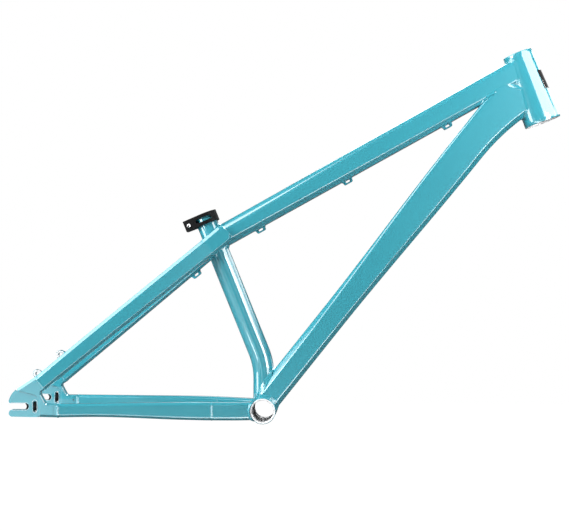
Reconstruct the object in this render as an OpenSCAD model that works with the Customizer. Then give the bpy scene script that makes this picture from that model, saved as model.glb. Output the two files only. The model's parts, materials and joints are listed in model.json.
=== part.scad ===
// Hardtail dirt-jump bicycle frame: separate tubes, forgings, axle tensioners and a seat clamp.
// Origin at the centre of the bottom bracket shell. +X forward, +Y to the rider's left, +Z up.

/* [Frame geometry] */
// Horizontal distance from the bottom bracket to the top of the head tube
reach = 418; // [390:1:450]
// Height of the head tube's upper end above the bottom bracket
stack = 585.4; // [560:0.1:620]
// Head tube angle above the horizontal
head_angle = 69.6; // [67:0.1:72]
// Length of the head tube
head_tube_length = 120.6; // [110:0.1:140]
// Seat tube angle above the horizontal
seat_angle = 68; // [66:0.5:71]
// Length of the seat tube above its bend point
seat_tube_length = 264.5; // [230:0.5:320]
// Height of the seat tube's bend point above the bottom bracket
seat_bend_height = 74.4; // [70:0.1:90]
// Distance of the axle behind the bottom bracket
axle_back = 385; // [375:1:400]
// Height of the axle above the bottom bracket
axle_rise = 12.4; // [6:0.1:18]

/* [Head tube] */
// Outside diameter of the upper collar
head_upper_od = 49; // [48:0.1:54]
// Outside diameter of the lower collar
head_lower_od = 60.4; // [59:0.1:66]
// Upper headset cup bore
upper_cup_bore = 44; // [41:0.1:45]
// Lower headset cup bore
lower_cup_bore = 56; // [52:0.1:57]
// Depth of each cup bore
cup_depth = 16; // [12:1:24]
// Wall thickness between the cup bores
head_wall = 3; // [2.5:0.1:4]
// Length of each straight collar
collar_length = 34; // [24:1:40]

/* [Seat tube] */
// Outside diameter
seat_od = 34.9; // [31.8:0.1:36]
// Seat post bore
seat_bore = 30.9; // [27.2:0.1:31.6]
// Centreline radius of the bend
seat_bend_radius = 120; // [100:5:150]
// Width of the clamping slot
seat_slot_width = 2.5; // [2:0.5:4]
// Length of the clamping slot
seat_slot_length = 30; // [20:1:40]
// Diameter of the relief hole that ends the clamping slot
seat_slot_hole = 6; // [5:0.5:8]

/* [Bottom bracket] */
// Width of the shell
shell_width = 73; // [68:1:83]
// Outside diameter of the shell
shell_od = 42.4; // [41:0.1:46]
// Bore over the threads
shell_bore = 34.8; // [34:0.1:35]
// Length of the threaded bore at each end
thread_length = 25; // [20:1:28]
// Depth of the relief between the threads
thread_relief = 0.7; // [0.4:0.1:1]

/* [Top tube] */
// Height at the seat tube
top_tube_h_rear = 37; // [32:0.5:40]
// Height at the head tube
top_tube_h_front = 38.5; // [34:0.5:42]
// Width at the seat tube
top_tube_w_rear = 33; // [28:0.5:34]
// Width at the head tube
top_tube_w_front = 39; // [34:0.5:42]
// Wall thickness
top_tube_wall = 1.6; // [1.2:0.1:2.5]
// Distance of its axis below the top of the seat tube, along the seat tube
top_tube_drop = 46; // [42:0.5:60]
// Distance of its axis below the top of the head tube, along the head tube
top_tube_head_drop = 26; // [24:0.5:34]

/* [Down tube] */
// Height near the bottom bracket
down_tube_h_low = 43; // [38:0.5:48]
// Height before the head tube
down_tube_h_high = 55.5; // [48:0.5:58]
// Extra depth under the tube where it flares into the head tube
down_tube_flare = 20; // [10:0.5:22]
// Width at the bottom bracket
down_tube_w_low = 46; // [42:0.5:50]
// Width at the head tube
down_tube_w_high = 42; // [38:0.5:46]
// Wall thickness
down_tube_wall = 1.8; // [1.2:0.1:2.5]
// Distance behind the bottom bracket at which its axis crosses the ground line
down_tube_offset = 7.5; // [4:0.5:9]
// Distance below the top of the head tube at which the two axes cross
down_tube_head_drop = 38.6; // [34:0.1:44]

/* [Seat stays] */
// Height at the seat tube
seat_stay_h_top = 30; // [24:0.5:32]
// Height at the dropout
seat_stay_h_low = 24.5; // [22:0.5:28]
// Width at the seat tube
seat_stay_w_top = 17; // [14:0.5:18]
// Width at the dropout
seat_stay_w_low = 15; // [13:0.5:17]
// Wall thickness
stay_wall = 1.6; // [1.2:0.1:2.2]
// Distance of its axis below the crossing of the top tube and seat tube
seat_stay_drop = 5; // [2:0.5:8]
// Height of its axis above the axle, at the axle
seat_stay_rise = 7.6; // [5:0.1:12]
// Length of the tube past the seat tube's axis
seat_stay_overrun = 32; // [26:0.5:36]
// Corner radius of the closed upper end
seat_stay_tip_radius = 10; // [6:0.5:12]
// Diameter of the bridge between the stays
bridge_d = 14; // [10:0.5:16]
// Distance of the bridge behind the seat tube's axis, along the stays
bridge_back = 40; // [34:1:46]

/* [Chain stays] */
// Height at the bottom bracket
chain_stay_h_front = 29; // [26:0.5:32]
// Height at the dropout
chain_stay_h_rear = 21.5; // [18:0.5:24]
// Width at the bottom bracket
chain_stay_w_front = 20; // [17:0.5:21]
// Width where the tyre passes
chain_stay_w_tyre = 15.5; // [14:0.5:17]
// Width at the dropout
chain_stay_w_rear = 14; // [13:0.5:16]
// Height of the upper side above the axle
chain_stay_top = 3.8; // [2:0.1:6]
// How much lower the upper side is at the bottom bracket
chain_stay_drop = 2; // [0:0.5:4]
// Distance of the tube's middle from the frame's middle, at the bottom bracket
chain_stay_spread = 26; // [24:0.5:27]

/* [Dropouts] */
// Distance between the inner faces that clamp the hub
hub_spacing = 135; // [130:1:142]
// Thickness of the slotted plate
plate_thickness = 10; // [9:0.5:12]
// Distance that the yoke stands proud of the plate on each side
yoke_proud = 2.5; // [1:0.5:3]
// Height of the axle slot
slot_height = 10.3; // [10:0.1:10.8]
// Distance from the axle to the closed end of the slot
slot_ahead = 17.4; // [16:0.1:19]
// Distance from the axle to the open end of the slot
slot_behind = 14.6; // [13:0.1:17]
// Length of the forged end in front of the axle
yoke_length = 63; // [60:0.5:70]
// Distance from the axle to the forged end of the seat stay, along the stay
stay_stub = 46; // [44:0.5:56]
// Diameter of the vent hole in the yoke's inner face
vent_hole = 2.5; // [1.5:0.5:4]

/* [Axle tensioners] */
// Thread diameter of the stud
stud_d = 6; // [5:0.5:6]
// Travel of the saddle
tensioner_travel = 10; // [6:0.5:12]
// Thickness of the saddle at its middle
saddle_thickness = 3.2; // [2.5:0.1:4]
// Diameter of the round nut
nut_d = 15; // [12:0.5:15]
// Thickness of the nut
nut_thickness = 5.2; // [4:0.1:6.5]
// Height of the nut's window
nut_window_height = 19; // [16:0.5:22]
// Distance from the slot's closed end to the nut's window
slot_to_window = 6.5; // [5:0.1:8]

/* [Disc brake mount] */
// Distance between the two bolt holes
brake_hole_spacing = 51; // [51:0.5:52]
// Diameter of the bolt holes
brake_hole = 6.2; // [6:0.1:6.6]
// Thickness of the tabs
brake_tab_thickness = 8; // [6:0.5:9]
// Radius of the tabs around the holes
brake_tab_radius = 7.5; // [7:0.5:9]
// Distance of the hole nearer the axle, along the stay
brake_hole_along = 15.5; // [12:0.5:18]
// Height of the holes above the stay's axis
brake_hole_up = 29; // [26:0.5:32]

/* [Cable guides] */
// Length of each guide's foot
guide_length = 19; // [17:0.5:24]
// Width of each guide
guide_width = 8; // [6:0.5:9]
// Height of each guide below its tube
guide_height = 6.6; // [6:0.1:9]
// Length of the tie slot
tie_slot_length = 8; // [5:0.5:9]
// Height of the tie slot
tie_slot_height = 3.6; // [2.5:0.1:4]
// Distance of the first guide ahead of the seat tube, along the top tube
guide_first = 76; // [56:1:100]
// Distance of the second guide
guide_second = 240; // [200:1:280]
// Distance of the third guide
guide_third = 428; // [380:1:450]
// Distance of the seat stay's guide behind the seat tube, along the stay
stay_guide_back = 58; // [50:1:80]

/* [Seat clamp] */
// Thickness of the band
band_wall = 3.6; // [3:0.1:5]
// Height of the band below its lip
band_height = 16; // [14:0.5:20]
// Distance from the seat tube's axis to the clamp bolt
bolt_back = 28.5; // [27:0.5:32]
// Distance from the seat tube's axis to the end of the ears
ear_back = 36; // [35:0.5:40]
// Half the width of the two ears at their end
ear_half_width = 12.5; // [11:0.5:14]
// Gap between the ears
ear_gap = 2.5; // [1.5:0.5:4]
// Height of the side windows
window_height = 6.5; // [4:0.5:7]
// Length of the side windows
window_length = 27; // [16:0.5:28]
// Thread diameter of the clamp bolt
bolt_d = 5; // [4:0.5:6]
// Diameter of the clamp bolt's head
bolt_head_d = 8.5; // [7:0.5:10]
// Height of the clamp bolt's head
bolt_head_h = 5; // [4:0.5:6]
// Diameter of the barrel nut
barrel_d = 8.6; // [8:0.1:10]

/* [Fits] */
// Gap left for the weld root between tubes
root_gap = 0.05; // [0.02:0.01:0.1]
// Radial clearance of a turning thread or pin
running_gap = 0.05; // [0.02:0.01:0.1]
// Clearance of a sliding or captive piece
slide_gap = 0.3; // [0.2:0.05:0.4]

/* [Hidden] */
$fn = 64;

paint = "#3fa9b5";
black_anodised = "#1c1c1f";
steel = "#c3c7cb";
over = 1;        // how far a cutter runs past what it cuts
far = 120;       // long enough to reach past any tube's section
corner_steps = 5;
crease = 1.5;    // 2 rounds a tube's corners, 1 makes flat bevels

// Directions and crossing points of the axes, in the plane of the frame
function upward(angle) = [-cos(angle), 0, sin(angle)];
head_dir = upward(head_angle);
seat_dir = upward(seat_angle);
head_top = [reach, 0, stack];
head_foot = head_top - head_dir * head_tube_length;
seat_bend = [0, 0, seat_bend_height];
seat_top = seat_bend + seat_dir * seat_tube_length;
top_tube_rear = seat_top - seat_dir * top_tube_drop;
top_tube_front = head_top - head_dir * top_tube_head_drop;
down_tube_foot = [-down_tube_offset, 0, 0];
down_tube_front = head_top - head_dir * down_tube_head_drop;
axle = [-axle_back, 0, axle_rise];
stay_foot = axle + [0, 0, seat_stay_rise];
stay_head = top_tube_rear - [0, 0, seat_stay_drop];

function unit(v) = v / norm(v);
function square_to(d) = [-d[2], 0, d[0]];
top_dir = unit(top_tube_front - top_tube_rear);
down_dir = unit(down_tube_front - down_tube_foot);
stay_dir = unit(stay_head - stay_foot);
top_length = norm(top_tube_front - top_tube_rear);
down_length = norm(down_tube_front - down_tube_foot);
stay_length = norm(stay_head - stay_foot);
top_angle = atan2(top_dir[2], top_dir[0]);
stay_angle = atan2(stay_dir[2], stay_dir[0]);

hub_face = hub_spacing / 2;
plate_mid = hub_face + plate_thickness / 2;
yoke_thickness = plate_thickness + 2 * yoke_proud;
seat_r = seat_od / 2;
shell_r = shell_od / 2;

function ease(t) = let (u = min(max(t, 0), 1)) u * u * (3 - 2 * u);
function mix(a, b, t) = a + (b - a) * t;

// ---- Tube sections and lofts ----

// A quarter of a rounded corner, from its first side to its second
function corner(x, z, rx, rz, start) = [
    for (i = [0 : corner_steps])
        let (a = start + 90 * i / corner_steps, c = cos(a), s = sin(a))
        [x + rx * sign(c) * pow(abs(c), 2 / crease), z + rz * sign(s) * pow(abs(s), 2 / crease)]
];

// A tube's section: width, height above and below the axis, and the bevels at its top and bottom
function section(w, up, down, top, bottom) = concat(
    corner(w / 2 - top, up - top, top, top, 0),
    corner(top - w / 2, up - top, top, top, 90),
    corner(bottom - w / 2, bottom - down, bottom, bottom, 180),
    corner(w / 2 - bottom, bottom - down, bottom, bottom, 270)
);

// The same section with the wall taken off
function inner_section(w, up, down, top, bottom, wall) =
    section(w - 2 * wall, up - wall, down - wall, top - wall / 2, bottom - wall / 2);

// A section placed in space: sideways along Y, upwards along up_dir
function ring(centre, up_dir, pts) = [for (p = pts) centre + [0, p[0], 0] + up_dir * p[1]];

function loft_side(n, rows, first, flip) = [
    for (i = [0 : rows - 2], j = [0 : n - 1])
        let (a = first + i * n + j, b = first + i * n + (j + 1) % n, c = b + n, d = a + n)
        each (flip ? [[a, b, c], [a, c, d]] : [[a, c, b], [a, d, c]])
];

module solid_loft(rings) {
    n = len(rings[0]);
    rows = len(rings);
    polyhedron(
        points = [for (r = rings) each r],
        faces = concat(
            loft_side(n, rows, 0, false),
            [[for (j = [0 : n - 1]) j]],
            [[for (j = [n - 1 : -1 : 0]) (rows - 1) * n + j]]
        )
    );
}

module hollow_loft(outer, inner) {
    n = len(outer[0]);
    rows = len(outer);
    skin = rows * n;
    last = (rows - 1) * n;
    polyhedron(
        points = concat([for (r = outer) each r], [for (r = inner) each r]),
        faces = concat(
            loft_side(n, rows, 0, false),
            loft_side(n, rows, skin, true),
            [
                for (j = [0 : n - 1])
                    let (k = (j + 1) % n)
                    each [[j, k, skin + j], [k, skin + k, skin + j],
                          [last + j, skin + last + j, last + k], [last + k, skin + last + j, skin + last + k]]
            ]
        )
    );
}

module across(centre, r, length) {
    translate(centre) rotate([90, 0, 0]) cylinder(r = r, h = length, center = true);
}

// Places what is drawn along +Z on a tilted axis in the plane of the frame
module tilted(place, angle) {
    translate(place) rotate([0, angle - 90, 0]) children();
}

// Everything modelled on the left side; the right side is its mirror image
module side(left) {
    if (left) children();
    else mirror([0, 1, 0]) children();
}

// ---- Head tube ----

head_edge = 0.6;     // chamfer around each end
cup_shelf = 0.8;     // the least height of the shelf that stops a headset cup

module head_tube_outline() {
    rotate_extrude() polygon([
        [0, 0], [head_lower_od / 2 - head_edge, 0], [head_lower_od / 2, head_edge],
        [head_lower_od / 2, collar_length], [head_upper_od / 2, head_tube_length - collar_length],
        [head_upper_od / 2, head_tube_length - head_edge], [head_upper_od / 2 - head_edge, head_tube_length],
        [0, head_tube_length]
    ]);
}

module head_tube() {
    bore_low = min(head_lower_od / 2 - head_wall, lower_cup_bore / 2 - cup_shelf);
    bore_high = min(head_upper_od / 2 - head_wall, upper_cup_bore / 2 - cup_shelf);
    upper_seat = head_tube_length - cup_depth;
    color(paint) tilted(head_foot, head_angle) difference() {
        head_tube_outline();
        rotate_extrude() polygon([
            [0, -over], [lower_cup_bore / 2, -over], [lower_cup_bore / 2, cup_depth],
            [bore_low, cup_depth], [bore_low, collar_length],
            [bore_high, head_tube_length - collar_length], [bore_high, upper_seat],
            [upper_cup_bore / 2, upper_seat], [upper_cup_bore / 2, head_tube_length + over],
            [0, head_tube_length + over]
        ]);
    }
}

badge_length = 34;
badge_width = 43;
badge_thickness = 0.8;
badge_up = 66;       // height of the badge's middle above the head tube's lower end

// Curved plate on the front of the head tube's taper
module head_badge() {
    taper = (head_lower_od - head_upper_od) / 2 / (head_tube_length - 2 * collar_length);
    color(black_anodised) tilted(head_foot, head_angle) intersection() {
        rotate_extrude() polygon([
            for (p = [[0, -0.5], [0, 0.5], [badge_thickness, 0.5], [badge_thickness, -0.5]])
                let (z = badge_up + p[1] * badge_length)
                [head_lower_od / 2 - taper * (z - collar_length) + root_gap + p[0], z]
        ]);
        translate([far / 2, 0, badge_up]) cube([far, badge_width, far], center = true);
    }
}

// The head tube as cut into the tubes that meet it, with the gap for the weld root
module head_tube_cutter() {
    low = head_lower_od / 2 + root_gap;
    high = head_upper_od / 2 + root_gap;
    tilted(head_foot, head_angle) rotate_extrude() polygon([
        [0, -over], [low, -over], [low, collar_length], [high, head_tube_length - collar_length],
        [high, head_tube_length + over], [0, head_tube_length + over]
    ]);
}

// ---- Seat tube and bottom bracket ----

seat_tilt = 90 - seat_angle;
bend_run = seat_bend_radius * tan(seat_tilt / 2);
seat_straight = seat_tube_length - bend_run;

bend_swell = 0.2;    // the bend's wall is thicker by this much, inside and outside
bend_lap = 1;        // how far the straight runs reach into the bend

// The seat tube's path as a solid rod; swell makes the bend thicker than the straight runs
module seat_tube_run(r, swell, extra) {
    tilted(seat_bend + seat_dir * (bend_run - bend_lap), seat_angle)
        cylinder(r = r, h = seat_straight + bend_lap + extra);
    translate([-seat_bend_radius, 0, seat_bend_height - bend_run]) rotate([90, 0, 0])
        rotate_extrude(angle = seat_tilt) translate([seat_bend_radius, 0]) circle(r + swell);
    cylinder(r = r, h = seat_bend_height - bend_run + bend_lap);
}

module seat_tube() {
    color(paint) difference() {
        seat_tube_run(seat_r, bend_swell, 0);
        seat_tube_run(seat_bore / 2, -bend_swell, over);
        across([0, 0, 0], shell_r + root_gap, far);
        tilted(seat_top, seat_angle) {
            translate([-seat_r, 0, -seat_slot_length / 2])
                cube([seat_r * 2, seat_slot_width, seat_slot_length + 2 * over], center = true);
            translate([-seat_r, 0, -seat_slot_length]) rotate([0, 90, 0])
                cylinder(d = seat_slot_hole, h = seat_r, center = true);
        }
    }
}

module bottom_bracket_shell() {
    half = shell_width / 2;
    relief = half - thread_length;
    lead = 0.8;      // chamfer that leads a cup into the threads
    color(paint) rotate([90, 0, 0]) rotate_extrude() polygon([
        [shell_bore / 2 + lead, -half], [shell_r, -half], [shell_r, half], [shell_bore / 2 + lead, half],
        [shell_bore / 2, half - lead], [shell_bore / 2, relief + thread_relief],
        [shell_bore / 2 + thread_relief, relief], [shell_bore / 2 + thread_relief, -relief],
        [shell_bore / 2, -relief - thread_relief], [shell_bore / 2, lead - half]
    ]);
}

// ---- Top tube and down tube ----

// Bevels of the top tube's section; the lower one widens again towards the head tube
top_bevel = [9, 6];         // upper, at the rear and from the middle on
top_low_bevel = [10, 8, 12];  // lower, at the rear, the middle and the front

function top_tube_h(s) = mix(top_tube_h_rear, top_tube_h_front, s / top_length);

function top_tube_ring(s, wall) =
    let (t = s / top_length,
         w = mix(top_tube_w_rear, top_tube_w_front, t),
         h = top_tube_h(s) / 2,
         top = mix(top_bevel[0], top_bevel[1], ease(t * 2)),
         low = mix(mix(top_low_bevel[0], top_low_bevel[1], ease(t * 2)), top_low_bevel[2], ease(t * 2 - 1)))
    ring(top_tube_rear + top_dir * s, square_to(top_dir),
         wall == 0 ? section(w, h, h, top, low) : inner_section(w, h, h, top, low, wall));

top_tube_stations = [for (t = [0, 0.12, 0.25, 0.38, 0.5, 0.62, 0.75, 0.88, 1]) t * top_length];

module top_tube() {
    color(paint) difference() {
        hollow_loft(
            [for (s = top_tube_stations) top_tube_ring(s, 0)],
            [for (s = top_tube_stations) top_tube_ring(s, top_tube_wall)]
        );
        head_tube_cutter();
        tilted(seat_top - seat_dir * far, seat_angle) cylinder(r = seat_r + root_gap, h = 2 * far);
    }
}

// Shares of the down tube's length: where its height grows, and where its underside flares
growth = [0.27, 0.79];
flare_start = 0.78;
flare_end = 0.955;
down_bevel = [11, 7];        // upper, at the bottom bracket and before the head tube
down_low_bevel = [8, 10];    // lower
bevel_rate = 1.6;            // the upper bevels have shrunk before the head tube

function down_tube_ring(s, wall) =
    let (t = s / down_length,
         w = mix(down_tube_w_low, down_tube_w_high, ease(t)),
         h = mix(down_tube_h_low, down_tube_h_high, ease((t - growth[0]) / (growth[1] - growth[0]))) / 2,
         flare = down_tube_flare * pow(max((t - flare_start) / (flare_end - flare_start), 0), 2),
         top = mix(down_bevel[0], down_bevel[1], ease(t * bevel_rate)),
         low = mix(down_low_bevel[0], down_low_bevel[1], ease(t)))
    ring(down_tube_foot + down_dir * s, square_to(down_dir),
         wall == 0 ? section(w, h, h + flare, top, low) : inner_section(w, h, h + flare, top, low, wall));

down_tube_stations = [
    for (t = [0.02, 0.27, 0.4, 0.53, 0.66, flare_start, 0.84, 0.89, 0.925, flare_end, 0.985]) t * down_length
];

module down_tube() {
    color(paint) difference() {
        hollow_loft(
            [for (s = down_tube_stations) down_tube_ring(s, 0)],
            [for (s = down_tube_stations) down_tube_ring(s, down_tube_wall)]
        );
        head_tube_cutter();
        seat_tube_run(seat_r + root_gap, bend_swell, 0);
        across([0, 0, 0], shell_r + root_gap, far);
        // What lies behind the seat tube's axis, and what lies above the top tube's underside
        translate([-far, 0, 0]) cube([2 * far, far, 2 * far], center = true);
        translate(top_tube_front) rotate([0, -top_angle, 0])
            translate([0, 0, far / 2 - top_tube_h_front / 2 - root_gap])
            cube([4 * far, far, far], center = true);
    }
}

// ---- Seat stays ----

seat_stay_inner_y = seat_r + root_gap;
stay_end = stay_length + seat_stay_overrun - seat_stay_tip_radius;
stay_bow_start = stay_length - 6;
stay_bow = 1.3;          // 1 runs straight to the dropout, more bows round the tyre
stay_bevel = [6, 4.5];   // upper and lower bevels of the section

// Distance of the stay's middle from the plane of the frame, at a distance s from the axle
function stay_y(s) =
    let (top = seat_stay_inner_y + seat_stay_w_top / 2,
         u = min(max((stay_bow_start - s) / (stay_bow_start - stay_stub), 0), 1))
    top + (plate_mid - top) * (1 - pow(1 - u, stay_bow));

function stay_w(s) = mix(seat_stay_w_low, seat_stay_w_top, s / stay_length);
function stay_h(s) = mix(seat_stay_h_low, seat_stay_h_top, s / stay_length);

function seat_stay_ring(s, wall) =
    let (w = stay_w(s), h = stay_h(s) / 2, top = stay_bevel[0], low = stay_bevel[1])
    ring(stay_foot + stay_dir * s + [0, stay_y(s), 0], square_to(stay_dir),
         wall == 0 ? section(w, h, h, top, low) : inner_section(w, h, h, top, low, wall));

stay_stations = concat(
    [for (t = [0, 0.2, 0.4, 0.55, 0.7, 0.82, 0.92]) mix(stay_stub, stay_bow_start, t)],
    [stay_bow_start, stay_end]
);

module seat_stay_solid() {
    solid_loft([for (s = stay_stations) seat_stay_ring(s, 0)]);
}

module seat_stay(left) {
    color(paint) side(left) hollow_loft(
        [for (s = stay_stations) seat_stay_ring(s, 0)],
        [for (s = stay_stations) seat_stay_ring(s, stay_wall)]
    );
}

// Outline of the closed end, forward of the point where the tube stops
module stay_tip(inset) {
    h = stay_h(stay_end) / 2 - inset;
    r = seat_stay_tip_radius - inset;
    translate([inset - over, -h + r]) square([over - inset, 2 * h - 2 * r]);
    translate([0, r - h]) square([r, 2 * (h - r)]);
    for (z = [h - r, r - h]) intersection() {
        translate([0, z]) circle(r);
        translate([0, -far / 2]) square([far, far]);
    }
}

module seat_stay_cap(left) {
    w = stay_w(stay_end) - 2 * root_gap;
    color(paint) side(left)
        translate(stay_foot + stay_dir * (stay_end + root_gap) + [0, stay_y(stay_end), 0])
        rotate([0, -stay_angle, 0]) rotate([90, 0, 0]) difference() {
            linear_extrude(w, center = true) intersection() {
                stay_tip(0);
                translate([0, -far / 2]) square([far, far]);
            }
            linear_extrude(w - 2 * stay_wall, center = true) stay_tip(stay_wall);
        }
}

module seat_stay_bridge() {
    s = stay_length - bridge_back;
    reach_y = stay_y(s);
    color(paint) difference() {
        across(stay_foot + stay_dir * s, bridge_d / 2, 2 * reach_y);
        across(stay_foot + stay_dir * s, bridge_d / 2 - stay_wall, 2 * reach_y + over);
        for (left = [true, false]) side(left) translate([0, -root_gap, 0]) seat_stay_solid();
    }
}

// ---- Chain stays ----

chain_front_x = -13;            // inside the shell, which trims the tube
chain_rear_x = yoke_length - axle_back;
chain_top_z = axle_rise + chain_stay_top;
chain_bevel = [4.5, 5];         // upper and lower bevels of the section
chain_taper = [0.22, 0.86];     // the stretch over which its height falls
chain_shoulder = 0.35;          // the stretch over which its upper side rises

// How far along the chain stay a place is: 0 at the bottom bracket and 1 at the dropout
function chain_t(x) = (chain_front_x - x) / (chain_front_x - chain_rear_x);

// It leaves the shell, bends out round the tyre, then runs straight to the dropout
tyre_bend = 0.3;     // share of its length that bends
tyre_bow = 12;       // distance that the bend adds
narrow_rate = 1.4;   // it is down to the tyre's width before the bend ends
function chain_y(x) =
    let (t = chain_t(x), b = 1 - pow(1 - min(max(t, 0) / tyre_bend, 1), 2))
    chain_stay_spread + tyre_bow * b + (plate_mid - chain_stay_spread - tyre_bow) * t;

function chain_w(x) =
    let (t = chain_t(x))
    t < tyre_bend ? mix(chain_stay_w_front, chain_stay_w_tyre, ease(t / tyre_bend * narrow_rate))
                  : mix(chain_stay_w_tyre, chain_stay_w_rear, ease((t - tyre_bend) / (1 - tyre_bend)));

function chain_h(x) =
    let (u = (chain_t(x) - chain_taper[0]) / (chain_taper[1] - chain_taper[0]))
    mix(chain_stay_h_front, chain_stay_h_rear, ease(u));

function chain_stay_ring(x, wall) =
    let (w = chain_w(x), h = chain_h(x) / 2, top = chain_bevel[0], low = chain_bevel[1],
         upper = chain_top_z - chain_stay_drop * (1 - ease(chain_t(x) / chain_shoulder)))
    ring([x, chain_y(x), upper - h], [0, 0, 1],
         wall == 0 ? section(w, h, h, top, low) : inner_section(w, h, h, top, low, wall));

chain_stations = [
    for (t = [1, 0.86, 0.7, 0.54, 0.4, tyre_bend, 0.22, 0.15, 0.08, 0]) mix(chain_front_x, chain_rear_x, t)
];

module chain_stay(left) {
    color(paint) difference() {
        side(left) hollow_loft(
            [for (x = chain_stations) chain_stay_ring(x, 0)],
            [for (x = chain_stations) chain_stay_ring(x, stay_wall)]
        );
        across([0, 0, 0], shell_r + root_gap, far);
    }
}

// ---- Dropouts ----

slot_r = slot_height / 2;
window_length_x = nut_thickness + 2 * slide_gap;
window_rear = slot_ahead + slot_to_window;
window_mid = window_rear + window_length_x / 2;
stud_end = window_rear + window_length_x + tensioner_travel;   // still in the nut at full travel
finger = 11.2;
stay_reach = stay_stub - root_gap;

// Turns a place given along and above the seat stay's axis into one given from the axle
function on_stay(along, up) =
    let (p = [0, seat_stay_rise] + [stay_dir[0], stay_dir[2]] * along + [-stay_dir[2], stay_dir[0]] * up) p;

function arc_points(centre, r, from, to, steps) = [
    for (i = [0 : steps]) let (a = mix(from, to, i / steps)) centre + r * [cos(a), sin(a)]
];

chain_top_rear = chain_stay_top;
chain_low_rear = chain_stay_top - chain_stay_h_rear;
half_stub = stay_h(stay_stub) / 2;
// The edge between the two stays, from the chain stay up to the seat stay
throat = [[46.5, chain_top_rear], [44.5, chain_top_rear + 1.2], [36.5, 20], [37.5, 24]];
lobe_tip = 9.5;      // height of the upper lobe's tip above the axle
shoulder = [-2, 27.5];   // where the upper edge turns down to the lobe
shoulder_r = 32;
vent_at = [56, -4.4];
vent_depth = 5;

module dropout_outline() {
    finger_r = finger / 2;
    polygon(concat(
        arc_points([finger_r - slot_behind, -slot_r - finger_r], finger_r, 90, 270, 8),
        [
            [yoke_length - root_gap, chain_low_rear], [yoke_length - root_gap, chain_top_rear],
            each throat,
            on_stay(stay_reach, -half_stub), on_stay(stay_reach, half_stub)
        ],
        arc_points(shoulder - shoulder_r * [cos(125), sin(125)], shoulder_r, 125, 152, 4),
        arc_points([2 - slot_behind, lobe_tip], 2, 150, 180, 3),
        arc_points([2.5 - slot_behind, slot_r + 2.5], 2.5, 180, 270, 4),
        [[0, slot_r], [0, -slot_r]]
    ));
}

// The area around the slot where the yoke is machined back to the plate
module plate_area() {
    r = 15;
    edge = 35;
    polygon(concat(
        [[-far, -far], [edge, -far]],
        arc_points([edge - r, 5], r, 0, 78, 8),
        [[-2, 26], [-far, 40]]
    ));
}

module dropout(left) {
    color(paint) side(left) translate(axle + [0, plate_mid, 0]) rotate([90, 0, 0]) difference() {
        linear_extrude(yoke_thickness, center = true) dropout_outline();
        // The clamping faces of the plate
        for (face = [-1, 1])
            translate([0, 0, face * (plate_thickness / 2 + far / 2)])
                linear_extrude(far, center = true) plate_area();
        // The axle slot with its round closed end
        translate([slot_ahead - slot_r, 0, 0]) cylinder(r = slot_r, h = far, center = true);
        translate([slot_ahead - slot_r - far / 2, 0, 0]) cube([far, slot_height, far], center = true);
        // The nut's window
        for (z = [-1, 1])
            translate([window_mid, z * (nut_window_height - window_length_x) / 2, 0])
                cylinder(d = window_length_x, h = far, center = true);
        translate([window_mid, 0, 0])
            cube([window_length_x, nut_window_height - window_length_x, far], center = true);
        // The stud's hole, from the slot through the window and on into the yoke
        rotate([0, 90, 0]) cylinder(d = stud_d + 2 * slide_gap, h = stud_end + slide_gap);
        // The vent that let the gas out while the stays were welded on
        translate([vent_at[0], vent_at[1], yoke_thickness / 2 - vent_depth]) cylinder(d = vent_hole, h = far);
    }
}

// ---- Disc brake mount ----

module disc_brake_mount() {
    near = [brake_hole_along, brake_hole_up];
    away = near + [brake_hole_spacing, 0];
    toe = away[0] + 2 * brake_tab_radius;
    foot = stay_h(toe) / 2 + root_gap;
    scallop_r = 19;
    web = 3;         // height of the web that joins the two tabs
    color(paint) translate(stay_foot + [0, plate_mid, 0]) rotate([0, -stay_angle, 0]) rotate([90, 0, 0])
        difference() {
            linear_extrude(brake_tab_thickness, center = true) difference() {
                polygon(concat(
                    [[near[0] - brake_tab_radius, foot]],
                    arc_points(near, brake_tab_radius, 180, 60, 8),
                    arc_points(away, brake_tab_radius, 120, 30, 8),
                    [[toe, foot]]
                ));
                translate([(near[0] + away[0]) / 2, foot + web + scallop_r]) circle(scallop_r);
                for (hole = [near, away]) translate(hole) circle(d = brake_hole);
            }
            linear_extrude(far, center = true) translate([0, root_gap]) rotate(-stay_angle)
                translate([0, -seat_stay_rise]) dropout_outline();
        }
}

// ---- Cable guides ----

slot_cover = 0.9;    // metal between the tube and the tie slot
guide_round = 2.5;   // radius of the loop's outer corners
hose_r = 2.75;       // hose that lies along the loop's groove
groove_depth = 0.7;
loop_inset = 0.6;    // how far inside the tie slot's end each lower corner is centred

// A loop under a tube, drawn with the tube's underside at z = 0, for a tie that passes from side to side
module cable_guide() {
    low = guide_round - guide_height;
    slot_mid = -slot_cover - tie_slot_height / 2;
    slot_end = (tie_slot_length - tie_slot_height) / 2;
    difference() {
        rotate([90, 0, 0]) linear_extrude(guide_width, center = true) polygon(concat(
            [[guide_length / 2, 0], [-guide_length / 2, 0]],
            arc_points([loop_inset - tie_slot_length / 2, low], guide_round, 215, 270, 4),
            arc_points([tie_slot_length / 2 - loop_inset, low], guide_round, 270, 325, 4)
        ));
        for (end = [-1, 1]) across([end * slot_end, 0, slot_mid], tie_slot_height / 2, far);
        translate([0, 0, slot_mid]) cube([2 * slot_end, far, tie_slot_height], center = true);
        translate([0, 0, groove_depth - guide_height - hose_r]) rotate([0, 90, 0])
            cylinder(r = hose_r, h = far, center = true);
    }
}

module top_tube_cable_guides() {
    color(paint) for (s = [guide_first, guide_second, guide_third])
        translate(top_tube_rear + top_dir * s - square_to(top_dir) * (top_tube_h(s) / 2 + root_gap))
            rotate([0, -top_angle, 0]) cable_guide();
}

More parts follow.
